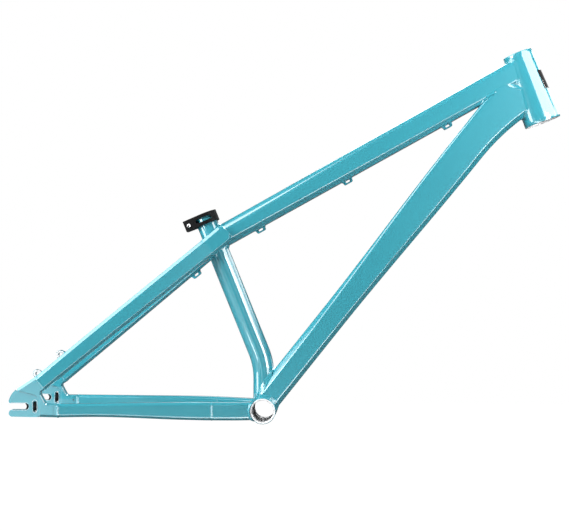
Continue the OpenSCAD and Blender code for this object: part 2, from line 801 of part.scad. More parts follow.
module seat_stay_cable_guide() {
    s = stay_length - stay_guide_back;
    down = stay_h(s + guide_length / 2) / 2 + root_gap;
    color(paint) translate(stay_foot + stay_dir * s + [0, stay_y(s), 0] - square_to(stay_dir) * down)
        rotate([0, -stay_angle, 0]) cable_guide();
}

// ---- Axle tensioners ----

// Drawn from the axle, with +X towards the nut
module at_dropout(left) {
    side(left) translate(axle + [0, plate_mid, 0]) children();
}

saddle_back = slot_ahead - slide_gap;
saddle_width = plate_thickness - 2 * slide_gap;
stud_socket = 1.6;

module tensioner_saddle(left) {
    outer_r = slot_r - slide_gap / 2;
    axle_r = 5;
    color(black_anodised) at_dropout(left) rotate([90, 0, 0]) difference() {
        intersection() {
            translate([saddle_back - outer_r, 0, 0]) cylinder(r = outer_r, h = saddle_width, center = true);
            translate([saddle_back, 0, 0]) cube([12, slot_height, far], center = true);
        }
        translate([saddle_back - saddle_thickness - axle_r, 0, 0])
            cylinder(r = axle_r, h = far, center = true);
        translate([saddle_back - stud_socket, 0, 0]) rotate([0, 90, 0]) cylinder(d = stud_d, h = far);
    }
}

module tensioner_stud(left) {
    tip = 0.6;
    start = saddle_back - stud_socket;
    length = stud_end - start;
    color(steel) at_dropout(left) translate([start, 0, 0]) rotate([0, 90, 0]) rotate_extrude() polygon([
        [0, 0], [stud_d / 2, 0], [stud_d / 2, length - tip], [stud_d / 2 - tip, length], [0, length]
    ]);
}

module tensioner_nut(left) {
    edge = 0.5;
    half = nut_thickness / 2;
    hole = stud_d / 2 + running_gap;
    color(black_anodised) at_dropout(left) translate([window_mid, 0, 0]) rotate([0, 90, 0]) rotate_extrude() polygon([
        [hole, -half], [nut_d / 2 - edge, -half], [nut_d / 2, edge - half],
        [nut_d / 2, half - edge], [nut_d / 2 - edge, half], [hole, half]
    ]);
}

// ---- Seat clamp ----
// Drawn about the seat tube's axis with z = 0 at the tube's top end and the ears towards -X

band_r = seat_r + running_gap;
band_outer_r = band_r + band_wall;
lip_thickness = 1.6;
lip_bore = seat_bore / 2 + 0.3;
bolt_z = -band_height / 2;
window_x = -2;
window_z = bolt_z + 0.8;
window_run = window_length - window_height;
head_floor = 9;      // distance from the split to the bolt head's seat
barrel_y = 7.2;      // distance from the split to the barrel nut's axis
bolt_end_y = barrel_y + 4;

ear_corner = 2.5;

module ears_outline() {
    tangent = asin((band_outer_r - ear_half_width) / ear_back);
    polygon([
        band_outer_r * [-sin(tangent), cos(tangent)], [ear_corner - ear_back, ear_half_width],
        [-ear_back, ear_half_width - ear_corner], [-ear_back, ear_corner - ear_half_width],
        [ear_corner - ear_back, -ear_half_width], band_outer_r * [-sin(tangent), -cos(tangent)]
    ]);
}

module seat_clamp_band() {
    color(black_anodised) tilted(seat_top, seat_angle) difference() {
        union() {
            translate([0, 0, -band_height]) cylinder(r = band_outer_r, h = band_height + lip_thickness);
            translate([0, 0, -band_height]) linear_extrude(band_height + lip_thickness) ears_outline();
        }
        translate([0, 0, -band_height - over]) cylinder(r = band_r, h = band_height + over + root_gap);
        cylinder(r = lip_bore, h = far, center = true);
        // The split between the ears
        translate([-far / 2, 0, 0]) cube([far, ear_gap, far], center = true);
        // Side windows with round ends
        translate([window_x, 0, window_z]) {
            for (end = [-1, 1]) across([end * window_run / 2, 0, 0], window_height / 2, far);
            cube([window_run, far, window_height], center = true);
        }
        // The bolt's hole and its head's recess
        translate([-bolt_back, 0, bolt_z]) rotate([-90, 0, 0]) {
            translate([0, 0, -head_floor]) cylinder(d = bolt_d + 2 * slide_gap, h = far);
            translate([0, 0, -far - head_floor]) cylinder(d = bolt_head_d + 2 * slide_gap, h = far);
        }
        // The barrel nut's bore
        translate([-bolt_back, barrel_y, 0]) cylinder(d = barrel_d + 2 * running_gap, h = far, center = true);
    }
}

module seat_clamp_bolt() {
    socket_flats = 4;
    socket_depth = 3;
    head_seat = head_floor + running_gap;
    color(steel) tilted(seat_top, seat_angle) translate([-bolt_back, 0, bolt_z]) rotate([90, 0, 0])
        difference() {
            union() {
                translate([0, 0, -bolt_end_y]) cylinder(d = bolt_d, h = head_seat + bolt_end_y);
                translate([0, 0, head_seat]) cylinder(d = bolt_head_d, h = bolt_head_h);
            }
            translate([0, 0, head_seat + bolt_head_h - socket_depth])
                cylinder(d = socket_flats / cos(30), h = far, $fn = 6);
        }
}

module seat_clamp_barrel_nut() {
    length = band_height - 1;
    color(steel) tilted(seat_top, seat_angle) translate([-bolt_back, barrel_y, bolt_z]) difference() {
        cylinder(d = barrel_d, h = length, center = true);
        rotate([90, 0, 0]) cylinder(d = bolt_d + 2 * running_gap, h = far, center = true);
    }
}

// ---- Nodes ----

head_tube();
head_badge();
top_tube();
down_tube();
seat_tube();
bottom_bracket_shell();
seat_stay(false);  // seat_stay_right
seat_stay(true);  // seat_stay_left
seat_stay_cap(false);  // seat_stay_cap_right
seat_stay_cap(true);  // seat_stay_cap_left
seat_stay_bridge();
chain_stay(false);  // chain_stay_right
chain_stay(true);  // chain_stay_left
dropout(false);  // dropout_right
dropout(true);  // dropout_left
disc_brake_mount();
top_tube_cable_guides();
seat_stay_cable_guide();
tensioner_saddle(false);  // tensioner_saddle_right
tensioner_saddle(true);  // tensioner_saddle_left
tensioner_stud(false);  // tensioner_stud_right
tensioner_stud(true);  // tensioner_stud_left
tensioner_nut(false);  // tensioner_nut_right
tensioner_nut(true);  // tensioner_nut_left
seat_clamp_band();
seat_clamp_bolt();
seat_clamp_barrel_nut();
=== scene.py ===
# %% [markdown]
# # A hardtail bicycle frame
#
# The frame is welded from shaped aluminium tubes and painted gloss turquoise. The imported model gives
# every piece its place and its size. This script gives each piece its finished surface, piece by piece,
# as a maker would: tubes first, then forgings, weld beads, small hardware, and last the finishes and the
# studio.
#
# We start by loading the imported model. It stays where it is, and every piece made here is placed in the
# same coordinates: the origin is at the middle of the bottom bracket shell, +X points forward, +Y to the
# rider's left and +Z up.

import json
from math import asin, atan2, cos, degrees, pi, radians, sin, sqrt, tan

import bmesh
import bpy
import mathutils
import numpy as np
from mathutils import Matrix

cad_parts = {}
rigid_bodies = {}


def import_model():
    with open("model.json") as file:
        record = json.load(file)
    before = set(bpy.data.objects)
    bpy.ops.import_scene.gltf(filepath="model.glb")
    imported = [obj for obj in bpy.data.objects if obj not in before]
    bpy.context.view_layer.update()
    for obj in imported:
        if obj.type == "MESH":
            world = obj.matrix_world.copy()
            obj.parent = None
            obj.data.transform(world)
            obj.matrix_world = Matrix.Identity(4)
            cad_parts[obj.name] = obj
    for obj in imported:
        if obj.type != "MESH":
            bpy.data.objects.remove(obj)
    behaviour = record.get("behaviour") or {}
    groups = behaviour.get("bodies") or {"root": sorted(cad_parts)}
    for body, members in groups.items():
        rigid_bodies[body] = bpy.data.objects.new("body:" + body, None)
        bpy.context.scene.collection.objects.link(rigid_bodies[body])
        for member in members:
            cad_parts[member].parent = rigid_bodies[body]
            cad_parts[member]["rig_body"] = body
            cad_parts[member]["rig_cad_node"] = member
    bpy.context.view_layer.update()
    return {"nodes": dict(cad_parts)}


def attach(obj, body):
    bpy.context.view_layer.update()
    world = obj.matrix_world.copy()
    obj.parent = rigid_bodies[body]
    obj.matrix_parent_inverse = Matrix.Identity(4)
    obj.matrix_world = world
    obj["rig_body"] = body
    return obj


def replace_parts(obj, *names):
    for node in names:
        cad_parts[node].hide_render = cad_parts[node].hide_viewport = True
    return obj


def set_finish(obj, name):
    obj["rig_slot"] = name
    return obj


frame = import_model()

# %% [markdown]
# ## Axes and sizes
#
# A frame is drawn from a few lines: the head tube's axis, the seat tube's axis, and the lines of the
# tubes that join them. We keep sizes in millimetres while we shape things, because that is how frames
# are drawn, and turn them into metres when a mesh is made. A few small functions on numbers come first:
# a direction made one unit long, a value part of the way between two, and a smooth start and stop.

# %% Small functions on numbers
def upward(angle):
    """Unit vector in the plane of the frame, leaning back from straight up."""
    return np.array([-cos(radians(angle)), 0.0, sin(radians(angle))])


def unit(v):
    v = np.asarray(v, float)
    return v / np.linalg.norm(v, axis=-1, keepdims=True)


def square_to(d):
    """The direction at a right angle to another, in the plane of the frame."""
    return np.array([-d[2], 0.0, d[0]])


def ease(t):
    """0 to 1 as t goes from 0 to 1, slow at both ends."""
    u = np.clip(t, 0, 1)
    return u * u * (3 - 2 * u)


def mix(a, b, t):
    return a + (b - a) * t


def without(v, direction):
    """What is left of a vector when its part along a direction is taken away."""
    return v - (v * direction).sum(-1, keepdims=True) * direction


print("halfway up an eased rise:", ease(0.5))

# %% Lines of the frame
def line(a, b):
    """Direction and length of the line from one point to another."""
    return unit(b - a), np.linalg.norm(b - a)


Y = np.array([0.0, 1.0, 0.0])
HANDS = ((-1, "right"), (1, "left"))
HEAD_ANGLE, HEAD_LONG = 69.6, 120.6
SEAT_ANGLE, SEAT_LONG, SEAT_R, BEND_Z = 68, 264.5, 17.45, 74.4
SHELL_R, SHELL_HALF = 21.2, 36.5
head_dir, seat_dir = upward(HEAD_ANGLE), upward(SEAT_ANGLE)
head_top = np.array([418.0, 0, 585.4])
head_foot = head_top - head_dir * HEAD_LONG
seat_bend = np.array([0, 0, BEND_Z])
seat_top = seat_bend + seat_dir * SEAT_LONG
axle = np.array([-385.0, 0, 12.4])

top_rear = seat_top - seat_dir * 46
down_foot = np.array([-7.5, 0, 0])
stay_foot = axle + [0, 0, 7.6]
top_dir, top_length = line(top_rear, head_top - head_dir * 26)
down_dir, down_length = line(down_foot, head_top - head_dir * 38.6)
stay_dir, stay_length = line(stay_foot, top_rear - [0, 0, 5])
print(f"top tube {top_length:.0f} mm, down tube {down_length:.0f} mm, seat stays {stay_length:.0f} mm")

# %% [markdown]
# ## Turning numbers into pieces
#
# A mesh is a list of points and a list of faces. Most pieces of a bicycle are either swept along a line
# or turned about an axis, so nearly all of them can be made as a grid of points: one row of points after
# another, joined by four-sided faces. A tool, such as a drill, rides on nothing and is removed later.

# %% Making a mesh from rows of points
def smooth(thing, sharp=None):
    """Shades smooth, and keeps an edge hard where its faces turn by more than the angle."""
    thing.data.polygons.foreach_set("use_smooth", [True] * len(thing.data.polygons))
    if sharp:
        thing.data.set_sharp_from_angle(angle=radians(sharp))
    return thing


def piece(name, points, faces, body="frame", slot="turquoise_paint", sharp=None):
    """A smooth-shaded object from points in millimetres, riding on one body."""
    mesh = bpy.data.meshes.new(name)
    mesh.from_pydata((np.asarray(points, float) * 0.001).tolist(), [], [list(map(int, f)) for f in faces])
    mesh.validate()
    thing = bpy.data.objects.new(name, mesh)
    bpy.context.scene.collection.objects.link(thing)
    if body:
        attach(thing, body)
        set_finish(thing, slot)
        print(f"{name}: {len(mesh.polygons)} faces")
    return smooth(thing, sharp)


def grid_faces(rows, columns, around=True, flip=False):
    """Four-sided faces over rows of points; around joins the last column to the first."""
    i, j = np.meshgrid(np.arange(rows - 1), np.arange(columns if around else columns - 1), indexing="ij")
    a, b = i * columns + j, i * columns + (j + 1) % columns
    quads = np.stack([a, b, b + columns, a + columns], -1).reshape(-1, 4)
    return quads[:, ::-1] if flip else quads


def sheet_of(name, rows, around=True, flip=False, **settings):
    """A piece from an array of rows x columns x 3."""
    rows = np.asarray(rows, float)
    faces = grid_faces(rows.shape[0], rows.shape[1], around, flip)
    return piece(name, rows.reshape(-1, 3), faces, **settings)


print("a grid of 3 rows of 4 points has", len(grid_faces(3, 4)), "faces")

# %% [markdown]
# ## Cutting and softening
#
# Blender's modifiers do the work of the workshop. A Boolean cuts a slot or drills a hole, and a Bevel
# breaks the sharp edges. Gloss paint shows every flaw in the shading, so Weighted Normal then keeps the
# large faces looking flat. Each modifier is applied at once, by taking the evaluated mesh, so that the
# next step works on a plain mesh.

# %% Modifiers, applied at once
def settle(thing):
    """Applies the object's modifiers to its mesh."""
    graph = bpy.context.evaluated_depsgraph_get()
    made = bpy.data.meshes.new_from_object(thing.evaluated_get(graph))
    thing.modifiers.clear()
    thing.data = made
    return thing


def carve(thing, *tools):
    """Cuts the tools out of a closed piece, and puts the tools away."""
    for tool in tools:
        cut = thing.modifiers.new("cut", "BOOLEAN")
        cut.operation, cut.solver, cut.object = "DIFFERENCE", "EXACT", tool
    settle(thing)
    for tool in tools:
        bpy.data.objects.remove(tool)
    return thing


def soften(thing, width, angle=40, sharp=32):
    """Rounds the edges that turn by more than the angle, and keeps the shading of flat faces flat."""
    bevel = thing.modifiers.new("edges", "BEVEL")
    bevel.width, bevel.segments = width * 0.001, 3
    bevel.limit_method, bevel.angle_limit = "ANGLE", radians(angle)
    bevel.use_clamp_overlap = True
    smooth(settle(thing), sharp)
    weigh = thing.modifiers.new("shading", "WEIGHTED_NORMAL")
    weigh.keep_sharp = True
    settle(thing)
    print(f"{thing.name} softened by {width} mm: {len(thing.data.polygons)} faces")
    return thing


def face_out(thing):
    """Turns every face of a closed block outward, which a clean cut needs."""
    made = bmesh.new()
    made.from_mesh(thing.data)
    bmesh.ops.recalc_face_normals(made, faces=made.faces)
    made.to_mesh(thing.data)
    made.free()
    return thing


print("tools so far:", ", ".join(f.__name__ for f in (settle, carve, soften, face_out)))

# %% [markdown]
# ## Drawings and the places where they lie
#
# Small parts are easier to draw flat, round their own centre. A `Place` holds the drawing's origin and
# its three directions, and carries drawn points into the frame. A drawing can then be given a thickness,
# which makes a block, or turned about its Z, as on a lathe.

# %% Places, outlines, blocks and turned pieces
class Place:
    """Where a drawing lies: its origin and the directions of its three axes."""

    def __init__(self, origin, x, y, z):
        self.origin, self.axes = np.asarray(origin, float), np.array([x, y, z], float)

    def __call__(self, points):
        return self.origin + np.asarray(points, float) @ self.axes

    def shifted(self, x=0, y=0, z=0):
        return Place(self([x, y, z]), *self.axes)


def tilted(origin, angle):
    """+Z runs along a leaning axis, +X is square to it and forward."""
    z = upward(angle)
    return Place(origin, [z[2], 0, -z[0]], Y, z)


def crosswise(origin, side=1):
    """+X runs forward, +Y up and +Z across the frame, to the left or, for side -1, to the right."""
    return Place(origin, [1, 0, 0], [0, 0, 1], Y * side)


def lengthwise(origin):
    """+Z runs forward, +Y up and +X to the left."""
    return Place(origin, Y, [0, 0, 1], [1, 0, 0])


def turn_of(steps):
    """Even angles once round."""
    return np.linspace(0, 2 * pi, steps, endpoint=False)


def circle(radius, steps):
    """Points of a circle; the radius may also be a list, one for each angle."""
    a = turn_of(steps)
    return np.column_stack([radius * np.cos(a), radius * np.sin(a)])


def arc(centre, radius, start, end, steps):
    a = np.radians(np.linspace(start, end, steps + 1))
    return np.column_stack([centre[0] + radius * np.cos(a), centre[1] + radius * np.sin(a)])


def level(place, ring, height):
    """A flat outline, set in a place at one height along its Z."""
    return place(np.column_stack([ring, np.full(len(ring), height)]))


def prism(name, outline, place, low, high, **settings):
    """A closed block: an outline in the drawing's X and Y, from one height to another."""
    outline = np.asarray(outline, float)
    n = len(outline)
    faces = [list(range(n))[::-1], list(range(n, 2 * n))]
    faces += [[i, (i + 1) % n, (i + 1) % n + n, i + n] for i in range(n)]
    ends = [level(place, outline, low), level(place, outline, high)]
    return face_out(piece(name, np.concatenate(ends), faces, **settings))


def block_of(name, rings, **settings):
    """A closed block through a stack of rings, with a flat face on the first and on the last."""
    rings = np.array(rings)
    count, n = rings.shape[:2]
    faces = [list(f) for f in grid_faces(count, n)]
    faces += [list(range(n)), [(count - 1) * n + i for i in range(n)][::-1]]
    return face_out(piece(name, rings.reshape(-1, 3), faces, **settings))


def turned(name, profile, place, steps=96, **settings):
    """A profile of (radius, height) turned about the drawing's Z; a radius may differ at each angle."""
    rows = [level(place, circle(r, steps), z) for r, z in profile]
    return sheet_of(name, rows, **settings)


def rod(name, place, radius, low, high, steps=48, **settings):
    """A closed round bar along the drawing's Z."""
    return prism(name, arc((0, 0), radius, 0, 360 - 360 / steps, steps - 1), place, low, high, **settings)


def drill(*where):
    """A round tool that cuts a hole: its place, radius, both heights and perhaps its steps."""
    return rod("drill", *where, body=None)


def mill(outline, place, low, high):
    """A tool that cuts an outline through a piece, from one height to another."""
    return prism("mill", outline, place, low, high, body=None)


print("a point 10 mm up the head tube:", tilted(head_foot, HEAD_ANGLE)([0, 0, 10]).round(1))

# %% [markdown]
# ## Shaped tubes
#
# The top tube, down tube and stays are formed: a round tube is pressed until its section has flat sides
# and slanting faces between them. What the eye reads on gloss paint is those slanting faces, because each
# one mirrors a different part of the room. So a section here is a rectangle whose corners are first cut
# by a flat, the facet, and whose remaining edges are then rounded. A wide facet with tight rounding shows
# as a crisp bright band, and a facet that is as small as its rounding shows as a plain soft corner.

# %% One section of a shaped tube
ARC_STEPS = 5
SIDE_STEPS = (0.12, 0.5, 0.88)


def rounded(corners, radii):
    """A closed outline with each corner rounded, always with the same number of points."""
    corners, count = np.asarray(corners, float), len(corners)
    back = unit(np.roll(corners, 1, 0) - corners)
    ahead = unit(np.roll(corners, -1, 0) - corners)
    sides = np.linalg.norm(np.roll(corners, -1, 0) - corners, axis=1)
    turn = pi - np.arccos(np.clip((back * ahead).sum(1), -1, 1))
    reach = np.minimum(np.asarray(radii) * np.tan(turn / 2), 0.49 * np.minimum(sides, np.roll(sides, 1)))
    out = []
    for i in range(count):
        p, q = corners[i] + back[i] * reach[i], corners[i] + ahead[i] * reach[i]
        for t in np.linspace(0, 1, ARC_STEPS + 1):
            out.append((1 - t) ** 2 * p + 2 * t * (1 - t) * corners[i] + t * t * q)
        nxt = (i + 1) % count
        following = corners[nxt] + back[nxt] * reach[nxt]
        out += [mix(q, following, t) for t in SIDE_STEPS]
    return np.array(out)


def section(w, up, down, top, low, top_round, low_round):
    """Width, height above and below the axis, and the upper and lower facets: (inward, downward)."""
    h = w / 2
    (tx, tz), (lx, lz) = top, low
    corners = [(h, lz - down), (h, up - tz), (h - tx, up), (tx - h, up),
               (-h, up - tz), (-h, lz - down), (lx - h, -down), (h - lx, -down)]
    return rounded(corners, [low_round] + [top_round] * 4 + [low_round] * 3)


def sweep(centre, up_dir, shapes):
    """Sections set in space along a line: rows x points x 3."""
    centre, up_dir = np.atleast_2d(centre), np.broadcast_to(up_dir, (len(shapes), 3))
    return np.array([c + np.outer(shape[:, 0], Y) + np.outer(shape[:, 1], up)
                     for c, up, shape in zip(centre, up_dir, shapes)])


print("points round a tube:", len(section(40, 20, 20, (5, 5), (5, 5), 2, 2)))

# %% [markdown]
# ## Mitres
#
# Before welding, the end of each tube is cut to the shape of the tube that it meets, which is a mitre.
# Each lengthwise line of a swept tube is followed until it reaches the neighbour's surface, and the line
# is cut there, sunk a little under the skin so that no gap can show. The neighbour is described by a
# distance: negative inside it, zero on its skin. The same cut points are then the path of the weld bead,
# so the bead always sits exactly in the joint.

# %% Distances to the head tube, the shell and the bent seat tube
BEND_R, BEND_ANGLE = 120.0, radians(90 - SEAT_ANGLE)
bend_run = BEND_R * tan(BEND_ANGLE / 2)
bend_centre = np.array([-BEND_R, 0, BEND_Z - bend_run])


def head_radius(z):
    return np.interp(z, [14, 106], [30.2, 24.5])


def from_axis(p, foot, direction):
    """Height along an axis, and distance from it."""
    return (p - foot) @ direction, np.linalg.norm(without(p - foot, direction), axis=-1)


def outside_head(p):
    z, off = from_axis(p, head_foot, head_dir)
    return off - head_radius(z)


def outside_shell(p):
    return np.hypot(p[..., 0], p[..., 2]) - SHELL_R


def outside_seat(p):
    """Distance to the seat tube's skin, straight run, bend and lower end together."""
    low = p[..., 2] < bend_centre[2]
    rel = p - bend_centre
    in_bend = np.arctan2(rel[..., 2], rel[..., 0])
    straight = from_axis(p, seat_bend, seat_dir)[1]
    bend = np.hypot(np.hypot(rel[..., 0], rel[..., 2]) - BEND_R, p[..., 1])
    foot = np.hypot(p[..., 0], p[..., 1])
    return np.where(low, foot, np.where(in_bend < BEND_ANGLE, bend, straight)) - SEAT_R


def outside_shell_and_seat(p):
    return np.minimum(outside_shell(p), outside_seat(p))


print("distance from the shell's middle to its skin:", -float(outside_shell(np.zeros(3))))

# %% The cut
SUNK = 0.4


def crossing(rows, outside):
    """How far along the rows each lengthwise line first goes under a surface; the nearest if it misses."""
    d = outside(rows) + SUNK
    found = np.argmin(d, 0).astype(float)
    for j in range(d.shape[1]):
        hits = np.flatnonzero(d[:, j] < 0)
        if len(hits):
            k = hits[0]
            found[j] = k if k == 0 else k - 1 + d[k - 1, j] / (d[k - 1, j] - d[k, j])
    return found


def mitred(rows, start=None, end=None, steps=100):
    """Cuts every lengthwise line where it meets the neighbour at each end, and spaces its rows anew."""
    n, half = len(rows), len(rows) // 2
    first = np.zeros(rows.shape[1]) if start is None else half - crossing(rows[half::-1], start)
    last = np.full(rows.shape[1], n - 1.0) if end is None else half + crossing(rows[half:], end)
    want = first + (last - first) * np.linspace(0, 1, steps)[:, None]
    k = np.clip(want.astype(int), 0, n - 2)
    f, column = (want - k)[..., None], np.arange(rows.shape[1])[None, :]
    cut = rows[k, column] * (1 - f) + rows[k + 1, column] * f
    print("cut lines are", np.linalg.norm(cut[-1] - cut[0], axis=1).round(1).min(), "mm or longer")
    return cut


# %% [markdown]
# ## The main tubes
#
# Each tube is a line of sections whose sizes change along it. The top tube is octagonal behind, and its
# corners close up towards the head tube. The down tube grows taller on its way up and flares downward to
# spread its load over the whole head tube. The share t runs from 0 at a tube's rear end to 1 at its front.

# %% Sections of the down tube and the top tube
def down_section(t):
    h = mix(43, 55.5, ease((t - 0.27) / 0.52)) / 2
    flare = 20 * max((t - 0.78) / 0.175, 0) ** 2
    return section(
        w=mix(46, 42, ease(t)), up=h, down=h + flare,
        top=(mix(10.5, 3.0, ease(t * 1.5)), mix(10.0, 2.6, ease(t * 1.5))),
        low=(mix(7.0, 8.6, ease(t)), mix(6.4, 8.0, ease(t))),
        top_round=mix(4, 5, ease(t * 2)), low_round=mix(5, 3, ease(t * 2)))


def top_width(t):
    return mix(33, 42.4, t)


def top_height(t):
    return mix(37, 38.5, t)


def top_low_facet(t):
    return mix(7.6, 5.2, t), mix(8.6, 6.6, t)


def top_section(t):
    return section(
        w=top_width(t), up=top_height(t) / 2, down=top_height(t) / 2,
        top=(mix(9.0, 5.0, ease(t * 1.7)), mix(9.4, 4.6, ease(t * 1.7))),
        low=top_low_facet(t), top_round=mix(15, 9, ease(t * 2)), low_round=5)


def swept(foot, direction, length, shape, start, end, count):
    """A tube's sections along its line, from one share of its length to another."""
    along = np.linspace(start, end, count)
    centres = [foot + direction * length * t for t in along]
    return sweep(centres, square_to(direction), [shape(t) for t in along])


print("halfway along, the top tube is", top_width(0.5), "mm wide and", top_height(0.5), "mm tall")

# %% Down tube, cut to the shell, the head tube and the underside of the top tube
def share_of_top(p):
    return ((p - top_rear) @ top_dir) / top_length


def under_top(p):
    """Distance below the front half of the top tube: its flat underside and the facet beside it."""
    t = share_of_top(p)
    wide, high = top_low_facet(t)
    below = -((p - top_rear) @ square_to(top_dir)) - top_height(t) / 2
    beyond = np.abs(p[..., 1]) - top_width(t) / 2
    facet = (beyond * high + below * wide + wide * high) / np.hypot(wide, high)
    return np.where(t > 0.5, np.maximum(below, facet), 100.0)


def outside_head_and_top(p):
    return np.minimum(outside_head(p), under_top(p))


down_rows = swept(down_foot, down_dir, down_length, down_section, -0.03, 1.02, 520)
down_rows = mitred(down_rows, outside_shell_and_seat, outside_head_and_top, 150)
sheet_of("down_tube_skin", down_rows)

# %% Top tube, cut to the seat tube and the head tube
top_rows = swept(top_rear, top_dir, top_length, top_section, -0.06, 1.06, 420)
top_rows = mitred(top_rows, outside_seat, outside_head, 120)
sheet_of("top_tube_skin", top_rows)

# %% [markdown]
# ## Seat tube
#
# The seat tube is a plain round tube with one bend near the bottom, so the rear wheel can sit close. It
# is swept like the others, but along a line that bends. Its upper end is slotted, because the clamp
# closes the slot to grip the seat post. That end is turned as a closed ring, which a Boolean can cut
# cleanly, and the bare bore is a second ring inside it.

# %% Lower part of the seat tube
AROUND_SEAT, END_Z, BORE_R = 72, -80.0, 15.45


def seat_axis(s):
    """Point and direction on the seat tube's line, by its length from the bottom bracket."""
    low, curve = BEND_Z - bend_run, BEND_R * BEND_ANGLE
    if s < low:
        return np.array([0, 0, s]), np.array([0, 0, 1.0])
    if s < low + curve:
        a = (s - low) / BEND_R
        return bend_centre + BEND_R * np.array([cos(a), 0, sin(a)]), np.array([-sin(a), 0, cos(a)])
    return seat_bend + seat_dir * (bend_run + s - low - curve), seat_dir


stations = np.concatenate([np.linspace(-10, 51, 40), np.linspace(52, 98, 40), np.linspace(99, 338.5, 110)])
points, ups = zip(*[(seat_axis(s)[0], square_to(seat_axis(s)[1])) for s in stations])
rows = sweep(points, np.array(ups), [circle(SEAT_R, AROUND_SEAT)] * len(stations))
seat_rows = mitred(rows, outside_shell, None, 120)
top_place = tilted(seat_top, SEAT_ANGLE)
rows = seat_rows[:-1]
rows = rows[(rows.mean(1) - seat_top) @ seat_dir < END_Z - 1]
joint = level(top_place, circle(SEAT_R, AROUND_SEAT), END_Z)
near = [np.argmin(np.linalg.norm(rows[-1] - p, axis=1)) for p in joint]
sheet_of("seat_tube_skin", np.concatenate([rows[:, near], joint[None]]), sharp=40)

# %% Slotted end and bare bore
def slotted(name, profile, **settings):
    """The tube's upper end, turned as a closed ring and cut by the clamping slot and its relief hole."""
    ring = turned(name, profile + profile[:1], top_place, 144, **settings)
    back = Place(top_place([0, 0, -30]), Y, top_place.axes[2], -top_place.axes[0])
    slot = mill([(-1.25, 0), (1.25, 0), (1.25, 60), (-1.25, 60)], back, 5, 30)
    relief = drill(back, 3.0, 5, 30)
    return smooth(carve(face_out(ring), slot, relief), 40)


slotted("seat_tube_end", [(15.9, END_Z), (15.9, 0), (16.95, 0), (17.3, -0.12),
                          (SEAT_R, -0.5), (SEAT_R, END_Z)])
slotted("seat_tube_bore", [(BORE_R, END_Z), (BORE_R, -0.6), (15.6, -0.2), (15.88, -0.05), (15.88, END_Z)],
        slot="bright_steel")
turned("seat_tube_bore_lower", [(BORE_R, z) for z in (END_Z, -110.0, -150.0)], top_place, AROUND_SEAT,
       slot="bright_steel", flip=True)
print("clamping slot 2.5 mm wide, relief hole 6 mm")

# %% [markdown]
# ## Head tube
#
# The head tube is machined from a thick tube: two straight collars hold the headset cups and a taper
# joins them. A lathe made it, so here its profile is turned about its axis. Its bores are cut after
# painting, so they are a second turned piece in bare metal, with the steps that stop the cups.

# %% Head tube
cone = [(head_radius(z), z) for z in np.linspace(6, 114, 28)]
profile = [(29.0, 0), (29.9, 0.1), (30.2, 0.5), *cone, (24.5, 120.1), (24.2, 120.5), (23.4, HEAD_LONG)]
head_place = tilted(head_foot, HEAD_ANGLE)
turned("head_tube_skin", profile, head_place, 160, sharp=50)
bores = [(29.05, 0.02), (28.4, 0.05), (28.0, 0.45), (28.0, 16), (27.2, 16), (27.0, 34), (21.4, 86.6),
         (21.2, 104.6), (22.0, 104.6), (22.0, 120.15), (22.4, 120.55), (23.45, 120.58)]
turned("head_tube_bores", bores, head_place, 160, sharp=30)

# %% [markdown]
# ## Stays
#
# The stays carry the rear wheel. They start close together at the seat tube and the shell, bow outward
# round the tyre, and reach the dropouts 145 mm apart. The seat stays run past the seat tube and end under
# the top tube in a rounded, closed tip. A closed tip is made by letting the last sections shrink along a
# quarter circle. Only the left stay is drawn, and its mirror image is the right one.

# %% Seat stays
PLATE_Y = 72.5
STUB = 46
TIP_FROM, TIP_LONG = stay_length + 22, 10


def stay_point(s):
    """A point on the seat stay's line, seen from the side, by its length from the dropout."""
    return stay_foot + stay_dir * s


def stay_y(s):
    u = np.clip((stay_length - 6 - s) / (stay_length - 6 - STUB), 0, 1)
    return 26.0 + (PLATE_Y - 26.0) * (1 - (1 - u) ** 1.3)


def stay_height(s):
    return mix(24.5, 30, s / stay_length)


def stay_section(s, tip):
    """The stay's section; tip goes from 0 to 1 while the end closes."""
    w, h = mix(15, 17, s / stay_length), stay_height(s) - 20 * (1 - sqrt(max(1 - tip * tip, 0)))
    return section(w, h / 2, h / 2, (4.6, 5.0), (3.2, 3.6), 1.6, 1.6)


def mirrored(rows, side):
    return rows * [1, side, 1]


rounding = TIP_FROM + TIP_LONG * np.sin(np.linspace(0.06, 1, 14) * pi / 2)
stops = np.concatenate([np.linspace(40, TIP_FROM, 130), rounding])
shapes = [stay_section(s, max((s - TIP_FROM) / TIP_LONG, 0)) for s in stops]
stay_rows = sweep([stay_point(s) + Y * stay_y(s) for s in stops], square_to(stay_dir), shapes)
last = stay_rows[-1]
closing = [mix(last, last.mean(0), t) + stay_dir * 0.25 * t for t in (0.25, 0.6, 0.999)]
stay_rows = np.concatenate([stay_rows, closing])
for side, hand in HANDS:
    sheet_of(f"seat_stay_skin_{hand}", mirrored(stay_rows, side), flip=side > 0, sharp=50)

# %% Chain stays
SHELL_X, YOKE_X = -13.0, axle[0] + 63
TOP_Z = axle[2] + 3.8


def chain_t(x):
    """Share of the chain stay's length, 0 at the shell and 1 at the dropout."""
    return (SHELL_X - x) / (SHELL_X - YOKE_X)


def chain_y(x):
    t = chain_t(x)
    return 26 + 12 * (1 - (1 - np.clip(t / 0.3, 0, 1)) ** 2) + (PLATE_Y - 38) * t


